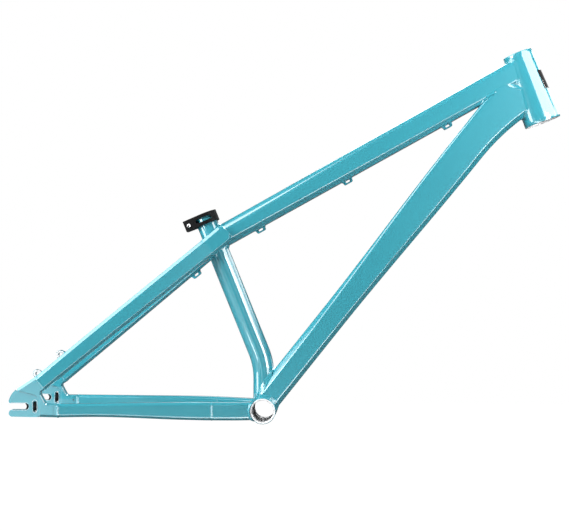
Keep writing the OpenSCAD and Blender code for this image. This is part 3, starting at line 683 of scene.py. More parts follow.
def chain_row(x):
    """The chain stay's section at one x, already in its place."""
    t = chain_t(x)
    w = mix(20, 15.5, ease(t / 0.3 * 1.4)) if t < 0.3 else mix(15.5, 14, ease((t - 0.3) / 0.7))
    h = mix(29, 21.5, ease((t - 0.22) / 0.64))
    upper = TOP_Z - 2 * (1 - ease(t / 0.35))
    shape = section(w, h / 2, h / 2, (3.6, 3.4), (3.8, 3.8), 1.6, 1.8)
    return sweep([x, chain_y(x), upper - h / 2], [0, 0, 1], [shape])[0]


rows = np.array([chain_row(x) for x in np.linspace(2, YOKE_X + 0.3, 200)])
chain_rows = mitred(rows, outside_shell, None, 110)
for side, hand in HANDS:
    sheet_of(f"chain_stay_skin_{hand}", mirrored(chain_rows, side), flip=side < 0)

# %% [markdown]
# ## Bridge
#
# A short round tube joins the two seat stays and stiffens them. It is slightly waisted in the middle, so
# it is turned about an axis that runs across the frame.

# %% Bridge between the seat stays
BRIDGE_R = 7
bridge_place = crosswise(stay_point(stay_length - 40))
bridge_y = stay_y(stay_length - 40)
y = np.linspace(-bridge_y + 6, bridge_y - 6, 41)
waisted = BRIDGE_R - 0.7 * np.exp(-(y / 9) ** 2)
turned("bridge_skin", zip(waisted, y), bridge_place, 40, flip=True)

# %% [markdown]
# ## Dropouts
#
# Each dropout is one forging. A cutter then machines its faces flat around the axle slot, down to the
# 10 mm plate, and leaves the thicker yoke standing proud with a round-cornered step. The same steps are
# followed here: a thick block of the forging's outline, a cutter with a rounded lower edge on each side,
# then the slot, the nut's window, the stud's hole and the vent.

# %% Outline of the forging, drawn from the axle
stay_along, stay_up = stay_dir[[0, 2]], square_to(stay_dir)[[0, 2]]
STAY_START = np.array([0, 7.6])
SLOT_R, SLOT_END, FINGER_R, HALF_STUB = 5.15, 17.4, 5.6, stay_height(STUB) / 2
shoulder = np.array([-2, 27.5]) - 32 * np.array([cos(radians(125)), sin(radians(125))])
outline = np.concatenate([
    arc((FINGER_R - 14.6, -SLOT_R - FINGER_R), FINGER_R, 90, 270, 20),
    [(20, -SLOT_R - 2 * FINGER_R - 0.6), (36, -17), (63, 3.8 - 21.5), (63, 3.8)],
    [(46.5, 3.8), (44.6, 4.6), (43.4, 6.2), (36.8, 18.6), (36.3, 20.4), (36.6, 22.2), (37.5, 24)],
    [STAY_START + stay_along * STUB + stay_up * h for h in (-HALF_STUB, HALF_STUB)],
    arc(shoulder, 32, 125, 152, 12),
    arc((-12.6, 9.5), 2, 150, 180, 4), arc((-12.1, 7.65), 2.5, 180, 270, 8),
    [(0, SLOT_R), (0, -SLOT_R)]])


def chamfered(outline, width_at):
    """The outline with each edge moved inward by the width that width_at() gives for its middle."""
    ahead = np.roll(outline, -1, 0) - outline
    normal = unit(np.column_stack([-ahead[:, 1], ahead[:, 0]]))
    area = (outline[:, 0] * np.roll(outline[:, 1], -1) - outline[:, 1] * np.roll(outline[:, 0], -1)).sum()
    normal *= np.sign(area)
    amount = np.array([width_at(m) for m in outline + ahead / 2])
    out = outline.copy()
    for i in range(len(outline)):
        pair, want = normal[[i - 1, i]], amount[[i - 1, i]]
        steep = abs(np.linalg.det(pair)) > 0.05
        out[i] += np.linalg.solve(pair, want) if steep else normal[i] * want[1]
    return out


def chamfer_width(m):
    """Wide where a stay's facet runs on, narrow in the notch, none on faces that are welded or milled."""
    facing_stay = abs((m - STAY_START) @ stay_along - STUB) < 0.2
    if facing_stay or m[0] > 62.9 or (m[0] < 35.5 and m[1] < 26.5):
        return 0.0
    return 1.6 if m[0] > 30 and m[1] > 0 else 4.0


print("the forging's outline has", len(outline), "points and is", np.ptp(outline[:, 0]).round(1), "mm long")

# %% The two dropouts, forged, milled and drilled
WINDOW_R, NUT_X = 2.9, 26.8
THICK_HALF = 7.5


def plate_place(side):
    """From the axle's middle in one plate; +Z points to the other plate."""
    return crosswise(axle + Y * side * PLATE_Y, -side)


def forging(name, place):
    """The block before machining: full size in the middle, chamfered towards both faces."""
    small = chamfered(outline, chamfer_width)
    steps = (small, -THICK_HALF), (outline, -3.6), (outline, 3.6), (small, THICK_HALF)
    return block_of(name, [level(place, ring, h) for ring, h in steps])


def machined_area(inset):
    """The cutter's path around the slot, moved inward by an amount."""
    return np.concatenate([[(-60, -60), (35 - inset, -60)], arc((20, 5), 15 - inset, 0, 78, 14),
                           [(-2, 26 - inset), (-60, 40 - inset)]])


def cutter(place, face):
    """The milling cutter's swept volume above one face of the plate, its corner rounded by 1.5 mm."""
    steps = [(5.0, 1.5), (5.06, 1.0), (5.4, 0.45), (5.9, 0.12), (6.5, 0), (14.5, 0)]
    rings = [level(place, machined_area(inset), face * h) for h, inset in steps]
    return block_of("cutter", rings, body=None)


def slot_shape(half_wide, back=40):
    """The axle slot: a round end, open towards -X."""
    end = arc((SLOT_END - SLOT_R, 0), half_wide, -90, 90, 16)
    return np.concatenate([[(-back, -half_wide)], end, [(-back, half_wide)]])


def window_shape(half_wide):
    """The oblong window of the nut, round at both ends."""
    return np.concatenate([arc((NUT_X, 6.6), half_wide, 0, 180, 24),
                           arc((NUT_X, -6.6), half_wide, 180, 360, 24)])


for side, hand in HANDS:
    place = plate_place(side)
    outer = -12 if side < 0 else 7.1
    block = forging(f"dropout_forging_{hand}", place)
    yoke_step = mill([(56.6, -40), (80, -40), (80, 12), (56.6, 12)], place, outer, outer + 4.9)
    slot = mill(slot_shape(SLOT_R), place, -20, 20)
    window = mill(window_shape(WINDOW_R), place, -20, 20)
    stud_hole = drill(lengthwise(place.origin), 3.3, 10, 40.4)
    vent = drill(place.shifted(56, -4.4), 1.25, 2.5, 12, 24)
    carve(block, cutter(place, 1), cutter(place, -1), yoke_step, slot, window, stud_hole, vent)
    soften(block, 0.7, 28)
    rim = [(1.1, 5.0), (0.95, 5.04), (0.5, 4.96), (0.1, 4.5), (-0.06, 3.9)]
    for face, label in ((1, "a"), (-1, "b")):
        rows = [level(place, window_shape(WINDOW_R + w), face * h) for w, h in rim]
        sheet_of(f"window_rim_{hand}_{label}", rows, slot="bright_steel", flip=face < 0)
        rows = [level(place, slot_shape(SLOT_R + w * 0.8, 11.2), face * h) for w, h in rim]
        sheet_of(f"slot_rim_{hand}_{label}", rows, around=False, slot="bright_steel", flip=face < 0)

# %% [markdown]
# ## Bottom bracket shell
#
# The shell is a short piece of thick tube. Its end faces are cut square after painting and its threads are
# cut in bare metal, so the paint ends in a thin ring and the inside shines. The thread's turns are a
# little over a millimetre apart, with a smooth relief between the two threaded ends. A thread is a turned
# piece whose radius also changes with the angle, which makes its grooves climb.

# %% Shell, painted outside and bare inside
shell_place = crosswise([0, 0, 0])
FACE_FROM, FACE_TO = 18.3, 20.2
edge = [(FACE_FROM, 0), (FACE_TO, 0), (20.9, 0.25), (SHELL_R, 0.9)]
shell_profile = [(r, z - SHELL_HALF) for r, z in edge] + [(r, SHELL_HALF - z) for r, z in edge[::-1]]
turned("shell_skin", shell_profile, shell_place, 128, sharp=60, flip=True)

PITCH, DEEP, THREAD_R, RELIEF_R, TURN_STEPS = 1.058, 0.6, 17.4, 18.1, 96


def thread_radius(angle, y):
    """Thread flanks in the two ends, a plain relief between them, with its start chamfered."""
    wave = np.abs(((np.abs(y) / PITCH - angle / (2 * pi)) % 1) - 0.5) * 2
    relief = np.abs(y) < SHELL_HALF - 25
    chamfer = np.clip(np.abs(y) - (SHELL_HALF - 1.2), 0, 1.2)
    opened = np.maximum(chamfer - DEEP * wave * (chamfer > 0.6), 0)
    return np.where(relief, RELIEF_R, THREAD_R + DEEP * wave) + opened


ys = np.concatenate([np.arange(-SHELL_HALF, -SHELL_HALF + 25.4, PITCH / 6), [0],
                     np.arange(SHELL_HALF - 25.2, SHELL_HALF, PITCH / 6), [SHELL_HALF]])
radii = thread_radius(turn_of(TURN_STEPS)[None, :], ys[:, None])
threads = turned("shell_threads", zip(radii, ys), shell_place, TURN_STEPS, slot="bright_steel")
for side, hand in HANDS:
    ring = [(r, side * (SHELL_HALF + 0.01)) for r in (FACE_FROM, FACE_TO)]
    turned(f"shell_face_{hand}", ring, shell_place, slot="bright_steel", flip=side < 0)

# %% [markdown]
# ## Head badge
#
# A small curved plate is stuck on the front of the head tube. It is left blank, with a raised rim, which
# is how such a plate is pressed. Every point is given by its height, its angle round the head tube and its
# distance from the tube's skin, so the plate follows the taper.

# %% Badge plate and its bright rim
BADGE_Z = 66


def on_head(z, angle, rise):
    """A point above the head tube's skin, by height and by angle from straight ahead."""
    r = head_radius(z) + rise
    return head_place([r * cos(angle), r * sin(angle), z])


def badge_point(u, v):
    """u and v go from -1 to 1 across and up the plate."""
    edge = (1 - max(abs(u), abs(v))) / 0.16
    rise = 1.5 - 0.45 * ease((edge - 0.25) * 4) if edge > 0.12 else 1.5 * sqrt(max(edge, 0) / 0.12)
    corner = 1.6 * abs(u) ** 6 * np.sign(v) * abs(v) ** 8
    return on_head(BADGE_Z + 17 * v - corner, radians(49.4) * u, rise - 0.2)


badge_rows = [[badge_point(u, v) for v in np.linspace(-1, 1, 41)] for u in np.linspace(-1, 1, 61)]
sheet_of("head_badge_plate", badge_rows, around=False, slot="black_anodised", sharp=60)

half = [(u, -1) for u in np.linspace(-1, 1, 40)[:-1]] + [(1, v) for v in np.linspace(-1, 1, 24)[:-1]]
once_round = half + [(-u, -v) for u, v in half]
rim = np.array([on_head(BADGE_Z + 16.1 * v, radians(47.6) * u, 1.12) for u, v in once_round])
out = unit(without(rim - head_foot, head_dir))
inward = unit(without(rim.mean(0) - rim, out))
rows = [rim + out * rise + inward * w for rise, w in ((0, -0.35), (0.22, -0.2), (0.22, 0.2), (0, 0.35))]
sheet_of("badge_rim", rows, slot="bright_steel", sharp=40)

# %% [markdown]
# ## Disc brake mount
#
# Two tabs stand on the left seat stay and the left dropout, joined by a low web. Each has a reamed hole
# for a bolt. The mount is cut from plate, so it is drawn as an outline, with its edges rounded. The faces
# that the brake sits on are milled after painting, so they are bare rings.

# %% Disc brake mount
TAB_R = 7.5
tabs = np.array([15.5, 29.0]), np.array([66.5, 29.0])
near, away = tabs
toe = away[0] + 15
stay_place = Place(stay_foot + Y * PLATE_Y, stay_dir, square_to(stay_dir), -Y)
ring = np.concatenate([
    [(near[0] - TAB_R, 9.0)], arc(near, TAB_R, 180, 62, 16),
    arc((41, stay_height(41) / 2 + 22), 19, 218, 322, 30),
    arc(away, TAB_R, 118, 25, 16), [(toe, stay_height(toe) / 2 - 0.6), (near[0] + 10, 9.0)]])
mount = prism("brake_mount_plate", ring, stay_place, -4, 4)
carve(mount, *[drill(stay_place.shifted(*at), 3.1, -9, 9) for at in tabs])
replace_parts(soften(mount, 0.6, 35), "disc_brake_mount")

edge = [(4.4, 4.02), (3.6, 4.03), (3.15, 3.6), (3.08, 3.0)]
for i, at in enumerate(tabs, 1):
    spot = stay_place.shifted(*at)
    turned(f"brake_hole_{i}", [(r, -z) for r, z in edge] + edge[::-1], spot, 48, slot="bright_steel",
           sharp=30, flip=True)
    for face, label in ((-4.03, "in"), (4.03, "out")):
        turned(f"brake_face_{i}_{label}", [(3.6, face), (6.9, face)], spot, 64, slot="bright_steel",
               flip=face > 0)

# %% [markdown]
# ## Cable guides
#
# Each guide is a small cast loop welded under a tube. A zip tie goes through its slot and holds the hose
# in the groove below. A sub-division surface would lose its size, so it is drawn as an outline in the
# tube's direction, extruded, cut and softened.

# %% Guides under the top tube and the left seat stay
HOSE_R = 2.75


def cable_guide(name, at, direction):
    """A guide hung under a point of a tube that runs in a direction."""
    place = Place(at - square_to(direction) * 0.05, direction, square_to(direction), -Y)
    ring = np.concatenate([[(11.2, 0.9), (-11.2, 0.9), (-9.8, -0.4), (-8.2, -2.6)],
                           arc((-5.6, -4.1), 2.5, 205, 270, 8), arc((5.6, -4.1), 2.5, 270, 335, 8),
                           [(8.2, -2.6), (9.8, -0.4)]])
    tie = np.concatenate([arc((2.1, -2.7), 1.75, -90, 90, 12), arc((-2.1, -2.7), 1.75, 90, 270, 12)])
    groove = Place(place([0, -5.9 - HOSE_R, 0]), place.axes[2], place.axes[1], place.axes[0])
    block = prism(name, ring, place, -4, 4)
    carve(block, mill(tie, place, -9, 9), drill(groove, HOSE_R, -20, 20))
    return soften(block, 0.7, 32, sharp=40)


guides = []
for i, s in enumerate((76, 240, 428), 1):
    at = top_rear + top_dir * s - square_to(top_dir) * top_height(s / top_length) / 2
    guides.append(cable_guide(f"top_guide_{i}", at, top_dir))
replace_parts(guides[0], "top_tube_cable_guides")
s = stay_length - 58
at = stay_point(s) + Y * stay_y(s) - square_to(stay_dir) * stay_height(s) / 2
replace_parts(cable_guide("stay_guide", at, stay_dir), "seat_stay_cable_guide")

# %% [markdown]
# ## Axle tensioners
#
# A nut in each dropout's window pulls a threaded stud, which moves a saddle against the axle. The stud and
# saddle slide as one body and the nut turns. The nut is turned by thumb, so its rim stands a little proud
# of the plate and carries small scallops for grip.

# %% Thumb nut and threaded rod
NUT_R, NUT_HALF, NUT_HOLE, GRIPS = 7.5, 2.6, 3.05, 16


def thumb_nut(name, place, body):
    """A round nut about the drawing's Z, with scalloped grips, chamfered faces and a countersunk thread."""
    steps = GRIPS * 12
    scallop = 0.45 * (0.5 + 0.5 * np.cos(turn_of(steps) * GRIPS)) ** 0.6
    edge = [(NUT_HOLE, NUT_HALF - 0.5, 0), (NUT_HOLE + 0.5, NUT_HALF, 0), (NUT_R - 1.3, NUT_HALF, 0),
            (NUT_R - 0.55, NUT_HALF - 0.12, 0.5), (NUT_R, NUT_HALF - 0.6, 1)]
    rounds = [(r, -z, share) for r, z, share in edge] + edge[::-1] + [(NUT_HOLE, 0.5 - NUT_HALF, 0)]
    profile = [(r - scallop * share, z) for r, z, share in rounds]
    return turned(name, profile, place, steps, body=body, slot="black_anodised", sharp=28, flip=True)


def threaded_rod(name, place, radius, low, high, pitch, deep, body):
    """A rod along the drawing's Z whose surface carries a helical thread, with chamfered ends."""
    z, a = np.arange(low, high + 1e-6, pitch / 6), turn_of(32)
    wave = np.abs(((z[:, None] / pitch - a[None, :] / (2 * pi)) % 1) - 0.5) * 2
    r = radius - deep * wave
    cap = np.clip(1 - np.minimum(z - low, high - z) / 0.8, 0, 1)[:, None]
    r = r * (1 - cap) + np.minimum(r, radius - 0.75) * cap
    profile = [(0, low), *zip(r, z), (0, z[-1])]
    return turned(name, profile, place, len(a), body=body, slot="bright_steel", sharp=50)


print("thumb nut", 2 * NUT_R, "mm across with", GRIPS, "grips")

# %% Nut, stud and saddle of each tensioner
AXLE_R, SADDLE_R, SADDLE_BACK, SADDLE_WALL = 5.0, 5.1, 17.3, 3.4
STUD = dict(radius=3.0, low=15.6, high=40.3, pitch=1.0, deep=0.42)
ring = np.concatenate([arc((SADDLE_BACK - SADDLE_R, 0), SADDLE_R, -78, 78, 24),
                       arc((SADDLE_BACK - SADDLE_WALL - AXLE_R, 0), AXLE_R, 62, -62, 20)])
for side, hand in HANDS:
    middle, slider = axle + Y * side * PLATE_Y, f"tensioner_{hand}_slider"
    along_x = lengthwise(middle)
    nut = thumb_nut(f"nut_{hand}", along_x.shifted(z=NUT_X), f"tensioner_{hand}_nut")
    stud = threaded_rod(f"stud_{hand}", along_x, body=slider, **STUD)
    saddle = prism(f"saddle_{hand}", ring, crosswise(middle, -1), -4.95, 4.95,
                   body=slider, slot="black_anodised")
    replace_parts(nut, f"tensioner_nut_{hand}")
    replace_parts(stud, f"tensioner_stud_{hand}")
    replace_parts(soften(saddle, 0.4, sharp=35), f"tensioner_saddle_{hand}")

# %% [markdown]
# ## Seat clamp
#
# The clamp is turned and milled from bar, then anodised black: a band with a thin lip that rests on the
# tube's end, long windows in its sides to save weight, and two ears with a split between them. The bolt's
# head sits in a round recess in one ear and pulls on a cross nut in the other.

# %% Clamp band
BAND_R, WALL, TALL, LIP = 17.5, 3.6, 16, 1.6
BOLT_BACK, EAR_BACK, EAR_HALF, EAR_R, SPLIT = 28.5, 36.0, 12.5, 3.2, 2.5
BOLT_Z, FLOOR_Y, BARREL_Y = -TALL / 2, 9.0, 7.2
clamp_place = top_place
forward, left, up = clamp_place.axes


def band_outline():
    """The band's round and its two ears, whose sides leave the round at a tangent."""
    outer = BAND_R + WALL
    lean = asin((outer - EAR_HALF) / EAR_BACK)
    root = outer * np.array([-sin(lean), cos(lean)])
    start, end = degrees(atan2(root[1], root[0])), degrees(atan2(-root[1], root[0]))
    return np.concatenate([arc((0, 0), outer, end, start, 90),
                           arc((EAR_R - EAR_BACK, EAR_HALF - EAR_R), EAR_R, 90, 180, 8),
                           arc((EAR_R - EAR_BACK, EAR_R - EAR_HALF), EAR_R, 180, 270, 8)])


across = Place(clamp_place.origin, forward, up, left)
bolt_line = across.shifted(-BOLT_BACK, BOLT_Z)
split = [(-60, -SPLIT / 2), (0, -SPLIT / 2), (0, SPLIT / 2), (-60, SPLIT / 2)]
windows = np.concatenate([arc((8.25, BOLT_Z + 0.8), 3.25, -90, 90, 16),
                          arc((-12.25, BOLT_Z + 0.8), 3.25, 90, 270, 16)])
band = prism("clamp_band", band_outline(), clamp_place, -TALL, LIP,
             body="seat_clamp", slot="black_anodised")
bore, lip_bore = drill(clamp_place, BAND_R, -TALL - 1, 0.05, 128), drill(clamp_place, 15.75, -1, 9, 128)
shank_hole, head_recess = drill(bolt_line, 2.8, -20, 20, 32), drill(bolt_line, 4.55, -40, -FLOOR_Y)
nut_bore = drill(clamp_place.shifted(-BOLT_BACK, BARREL_Y), 4.35, -30, 30)
carve(band, bore, lip_bore, mill(split, clamp_place, -30, 30), mill(windows, across, -40, 40),
      shank_hole, head_recess, nut_bore)
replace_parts(soften(band, 0.6, 32, sharp=38), "seat_clamp_band")

# %% [markdown]
# ### Bolt and cross nut
#
# A socket head bolt is turned too: its head is knurled by a radius that goes up and down with the angle,
# and the hexagonal socket is a radius that follows six flats. The cross nut is a short bar lying across
# the bolt, drilled through for it.

# %% Bolt and cross nut
HEAD_STEPS = 144
bolt_place = Place(bolt_line.origin, up, forward, -Y)
low = FLOOR_Y + 0.05
angle = turn_of(HEAD_STEPS)
knurled = 4.25 - 0.12 * np.abs(np.sin(angle * 18))
socket = 2.0 / np.cos((angle + pi / 6) % (pi / 3) - pi / 6)
rounds = [(0, 0), (4.0, 0), (knurled, 0.3), (knurled, 4.0), (4.0, 4.7), (3.7, 5.0), (2.75, 5.0),
          (socket + 0.05, 4.7), (socket, 2.2), (0.9, 1.7), (0, 1.65)]
head = turned("clamp_bolt_head", [(r, low + z) for r, z in rounds], bolt_place, HEAD_STEPS,
              body="clamp_bolt", slot="bright_steel", sharp=35)
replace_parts(head, "seat_clamp_bolt")
threaded_rod("clamp_bolt_shank", bolt_place, 2.5, -BARREL_Y - 4, FLOOR_Y + 0.4, 0.8, 0.35, "clamp_bolt")
barrel = rod("clamp_cross_nut", clamp_place.shifted(-BOLT_BACK, BARREL_Y, BOLT_Z), 4.3, -7.5, 7.5, 96,
             body="seat_clamp", slot="bright_steel")
carve(barrel, drill(bolt_place, 2.55, -30, 30, 32))
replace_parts(soften(barrel, 0.5, sharp=35), "seat_clamp_barrel_nut")

# %% What each remaining piece stands for
STANDS_FOR = {
    "top_tube_skin": ["top_tube"], "down_tube_skin": ["down_tube"], "seat_tube_skin": ["seat_tube"],
    "head_tube_skin": ["head_tube"], "head_badge_plate": ["head_badge"],
    "shell_skin": ["bottom_bracket_shell"], "bridge_skin": ["seat_stay_bridge"]}
for name, nodes in STANDS_FOR.items():
    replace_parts(bpy.data.objects[name], *nodes)
for hand in ("right", "left"):
    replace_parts(bpy.data.objects[f"seat_stay_skin_{hand}"], f"seat_stay_{hand}", f"seat_stay_cap_{hand}")
    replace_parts(bpy.data.objects[f"chain_stay_skin_{hand}"], f"chain_stay_{hand}")
    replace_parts(bpy.data.objects[f"dropout_forging_{hand}"], f"dropout_{hand}")
print("replaced:", ", ".join(STANDS_FOR), "and both stays and dropouts of each side")

# %% [markdown]
# ## Weld beads
#
# Every joint is welded with a filler rod, puddle by puddle, which leaves a row of small crescents about
# two millimetres apart. A bead is a narrow sheet between two toes, one on each piece. It is built from
# the mitre's own cut line: one toe lies back along the tube, the other out on the neighbour, and the
# sheet between them is a shallow curve with ripples across it. Paint fills the ripples, so they are low.

# %% A bead between two lines of toes
RIPPLE = 2.2


def puddles(phase):
    """The rise and fall of one ripple after another, a little flattened on top."""
    return (0.5 - 0.5 * np.cos(2 * pi * phase)) ** 0.7


def around_loop(loop, *others, closed=True, step=0.6):
    """The loop and whatever goes with it, at even steps along its length."""
    full = [np.concatenate([values, values[:1]]) if closed else values for values in (loop, *others)]
    run = np.concatenate([[0], np.cumsum(np.linalg.norm(np.diff(full[0], axis=0), axis=1))])
    at = np.linspace(0, run[-1], int(run[-1] / step), endpoint=not closed)
    even = [np.column_stack([np.interp(at, run, column) for column in values.T]) for values in full]
    return at, run[-1], even


def along_loop(p):
    """Direction of a closed loop at each of its points."""
    return unit(np.roll(p, -2, 0) - np.roll(p, 2, 0))


def slope(outside, p):
    """Direction in which the distance to a neighbour grows fastest: straight out of its skin."""
    h = 0.05
    return unit(np.stack([outside(p + h * e) - outside(p - h * e) for e in np.eye(3)], -1))


def bead_sheet(name, toe_a, toe_b, ridge, outward, run, length, high):
    """The rippled sheet from one toe to the other, over a ridge line between them."""
    t = np.linspace(0, 1, 11)[None, :, None]
    base = (1 - t) ** 2 * toe_a[:, None] + 2 * t * (1 - t) * ridge[:, None] + t * t * toe_b[:, None]
    t = t[..., 0]
    count = max(round(length / RIPPLE), 1)
    wave = puddles(run[:, None] / length * count + 0.42 * (2 * t - 1) ** 2)
    rows = base + outward[:, None] * (high * wave * np.sin(pi * t) ** 0.8)[..., None]
    return sheet_of(name, np.concatenate([rows, rows[:1]]), around=False)


FULL, SINK = 0.95, 0.12


def joint_bead(name, end, behind, outside, back=4.0, out=4.2, high=0.3):
    """A bead on a mitred end: its cut line, the next row behind it, and the distance to the neighbour."""
    run, length, (p, q) = around_loop(end, behind)
    tangent = along_loop(p)
    a = unit(without(q - p, tangent))
    own = np.cross(tangent, a)
    own *= np.sign((own * (p - p.mean(0))).sum(1, keepdims=True))
    other = slope(outside, p - a)
    b = unit(without(without(own - 0.12 * a, other), tangent))
    toe_a, toe_b = p + a * back - own * SINK, p + b * out
    toe_b = toe_b - (outside(toe_b)[:, None] + SINK) * other
    ridge = p + FULL * 0.5 * (a * back + b * out)
    high = high(p)[:, None] if callable(high) else high
    return bead_sheet(name, toe_a, toe_b, ridge, unit(own + other), run, length, high)


print("ripples on a bead 100 mm long:", round(100 / RIPPLE))

# %% Beads on the mitred tubes
apex = down_rows[-1][np.argmin(np.linalg.norm(down_rows[-1] - down_foot, axis=1))]


def outside_head_and_top_sides(p):
    side = np.abs(p[..., 1]) - top_width(share_of_top(p)) / 2
    return np.minimum(outside_head(p), np.maximum(under_top(p), side))


def gap_high(p):
    """The down tube's bead is dressed almost flat, except for the last 25 mm in the narrow gap."""
    return 0.05 + 0.42 * ease(1.2 - np.linalg.norm(p - apex, axis=1) / 30)


joint_bead("bead_top_tube_rear", top_rows[0], top_rows[2], outside_seat)
joint_bead("bead_top_tube_front", top_rows[-1], top_rows[-3], outside_head, back=3.4, out=3.4)
joint_bead("bead_down_tube_foot", down_rows[0], down_rows[2], outside_shell_and_seat,
           back=5.5, out=5, high=0.45)
joint_bead("bead_down_tube_front", down_rows[-1], down_rows[-3], outside_head_and_top_sides,
           back=2.8, out=2.8, high=gap_high)
joint_bead("bead_seat_tube_foot", seat_rows[0], seat_rows[2], outside_shell)
for side, hand in HANDS:
    end, behind = mirrored(chain_rows[0], side), mirrored(chain_rows[2], side)
    joint_bead(f"bead_chain_stay_{hand}", end, behind, outside_shell)

# %% [markdown]
# ### Seams, fillers and the bridge's beads
#
# Where two pieces meet end to end there is no mitre, only a butt joint, and its seam is a flat band round
# both. The seat stays pass beside the seat tube and touch it along their length, so the gap above and
# below is filled by a round bead that thins out at both ends.

# %% Seams where two pieces meet end to end
def seam(name, ring, along, wide=5.0, tall=1.2):
    """A flat bead round a butt joint, raised a little off both pieces."""
    run, length, (p,) = around_loop(ring)
    out = unit(without(p - p.mean(0), along))
    normal = np.cross(along_loop(p), along)
    normal = unit(normal * np.sign((normal * out).sum(1, keepdims=True)))
    low, half = p - normal * 0.15, along * wide / 2
    return bead_sheet(name, low + half, low - half, p + normal * tall, normal, run, length, 0.22)


X = np.array([1.0, 0, 0])
for side, hand in HANDS:
    seam(f"seam_seat_stay_{hand}", mirrored(stay_rows[np.argmin(abs(stops - STUB))], side), stay_dir)
    seam(f"seam_chain_stay_{hand}", mirrored(chain_row(YOKE_X), side), X)
    seam(f"seam_chain_yoke_{hand}", mirrored(chain_row(-81.0), side), X, 3.6, 0.48)

# %% Fillers between the seat stays and the seat tube
def filler(name, path, radius):
    """A round bead laid along a path, thinning to nothing at both ends."""
    run, length, (p,) = around_loop(path, closed=False)
    tangent = unit(np.gradient(p, axis=0))
    side = unit(np.cross(tangent, Y))
    top = np.cross(side, tangent)
    a = turn_of(20)
    swell = np.minimum(np.sin(pi * (run / length)) * 3.2, 1)[:, None] ** 0.5
    wave = puddles(run[:, None] / RIPPLE + 0.25 * np.cos(a)[None, :])
    r = (radius * np.maximum(swell, 0.05) + 0.3 * wave * swell)[..., None]
    spokes = np.cos(a)[None, :, None] * side[:, None] + np.sin(a)[None, :, None] * top[:, None]
    return sheet_of(name, p[:, None] + r * spokes)


reach = stay_length + np.linspace(-19, 19, 21)
for side, hand in HANDS:
    for edge, label in ((1, "upper"), (-1, "lower")):
        offset = square_to(stay_dir) * edge * (stay_height(stay_length) / 2 - 2.2) + Y * side * 17.4
        filler(f"filler_{label}_{hand}", np.array([stay_point(s) + offset for s in reach]), 3.4)

# %% Beads where the bridge meets the stays
for side, hand in HANDS:
    ring = level(bridge_place, circle(BRIDGE_R, 48), side * (bridge_y - 7.6))
    run, length, (p,) = around_loop(ring)
    out, toward = unit(without(p - bridge_place.origin, Y)), Y * side
    bead_sheet(f"bead_bridge_{hand}", p - toward * 3.4 - out * 0.1, p + out * 3.2 + toward * 0.6,
               p - toward * 0.8 + out * 0.9, unit(out - toward), run, length, 0.22)

# %% [markdown]
# ## Finishes
#
# A material is a small graph of nodes. To keep the graphs readable, a class wraps one output socket, and
# ordinary arithmetic on it adds the Math nodes. `Finish.node` adds any other node: its settings first,
# then the values or links of its inputs.

# %% Arithmetic on sockets
class Wire:
    """One output of a node, on which arithmetic adds Math nodes."""

    def __init__(self, finish, socket):
        self.finish, self.socket = finish, socket

    def _maths(self, operation, *values):
        return self.finish.node("ShaderNodeMath", {"operation": operation}, values)

    def __add__(self, other):
        return self._maths("ADD", self, other)

    def __sub__(self, other):
        return self._maths("SUBTRACT", self, other)

    def __rsub__(self, other):
        return self._maths("SUBTRACT", other, self)

    def __mul__(self, other):
        return self._maths("MULTIPLY", self, other)

    def __neg__(self):
        return self * -1

    def __abs__(self):
        return self._maths("ABSOLUTE", self)

    __radd__, __rmul__ = __add__, __mul__

    def output(self, name):
        """Another output of the same node."""
        return Wire(self.finish, self.socket.node.outputs[name])

    def between(self, low, high):
        """0 below low, 1 above high, and a smooth rise from one to the other."""
        return self.finish.node("ShaderNodeMapRange", {"interpolation_type": "SMOOTHSTEP"},
                                {"Value": self, "From Min": low, "From Max": high})


class Graph:
    """A node graph, built one node at a time, from an empty one up to its output node."""

    def __init__(self, owner, kind):
        owner.use_nodes = True
        self.tree = owner.node_tree
        self.tree.nodes.clear()
        self.end = self.tree.nodes.new(kind)

    def feed(self, node, socket, value):
        """Links a wire to a node's input, or sets the input to a plain value."""
        if isinstance(value, Wire):
            self.tree.links.new(value.socket, node.inputs[socket])
        else:
            node.inputs[socket].default_value = value

    def node(self, kind, settings=None, inputs=(), output=0):
        made = self.tree.nodes.new(kind)
        for key, value in (settings or {}).items():
            setattr(made, key, value)
        for socket, value in inputs.items() if isinstance(inputs, dict) else enumerate(inputs):
            self.feed(made, socket, value)
        return Wire(self, made.outputs[output])

    def plain(self, kind, colour, strength):
        """A shader of one colour and one strength, such as a glow."""
        return self.node(kind, inputs={"Color": (*colour, 1), "Strength": strength})


class Finish(Graph):
    """A material with a Principled shader."""

    def __init__(self, name, **sockets):
        self.material = bpy.data.materials.new(name)
        super().__init__(self.material, "ShaderNodeOutputMaterial")
        self.surface = self.node("ShaderNodeBsdfPrincipled")
        self.feed(self.end, "Surface", self.surface)
        self.set(**sockets)
        self.place = self.node("ShaderNodeTexCoord", output="Object")

    def set(self, **sockets):
        """Feeds the shader's sockets; coat_weight, for example, is its Coat Weight."""
        for word, value in sockets.items():
            socket = word.replace("_", " ").title().replace("Ior", "IOR")
            self.feed(self.surface.socket.node, socket, value)

    def noise(self, scale, detail=2.0):
        """Soft noise from 0 to 1, whose grains are about 1 / scale metres wide."""
        inputs = {"Vector": self.place, "Scale": scale, "Detail": detail}
        return self.node("ShaderNodeTexNoise", inputs=inputs)

    def tint(self, share, low, high):
        """A colour between two, by a share from 0 to 1."""
        colours = {"Factor": share, 6: (*low, 1), 7: (*high, 1)}
        return self.node("ShaderNodeMix", {"data_type": "RGBA"}, colours, output=2)

    def bump(self, height, distance, strength):
        """Raises the surface by a height, at most by a distance in metres."""
        inputs = {"Height": height, "Distance": distance, "Strength": strength}
        self.set(normal=self.node("ShaderNodeBump", inputs=inputs))
        print(f"{self.material.name}: {len(self.tree.nodes)} nodes")


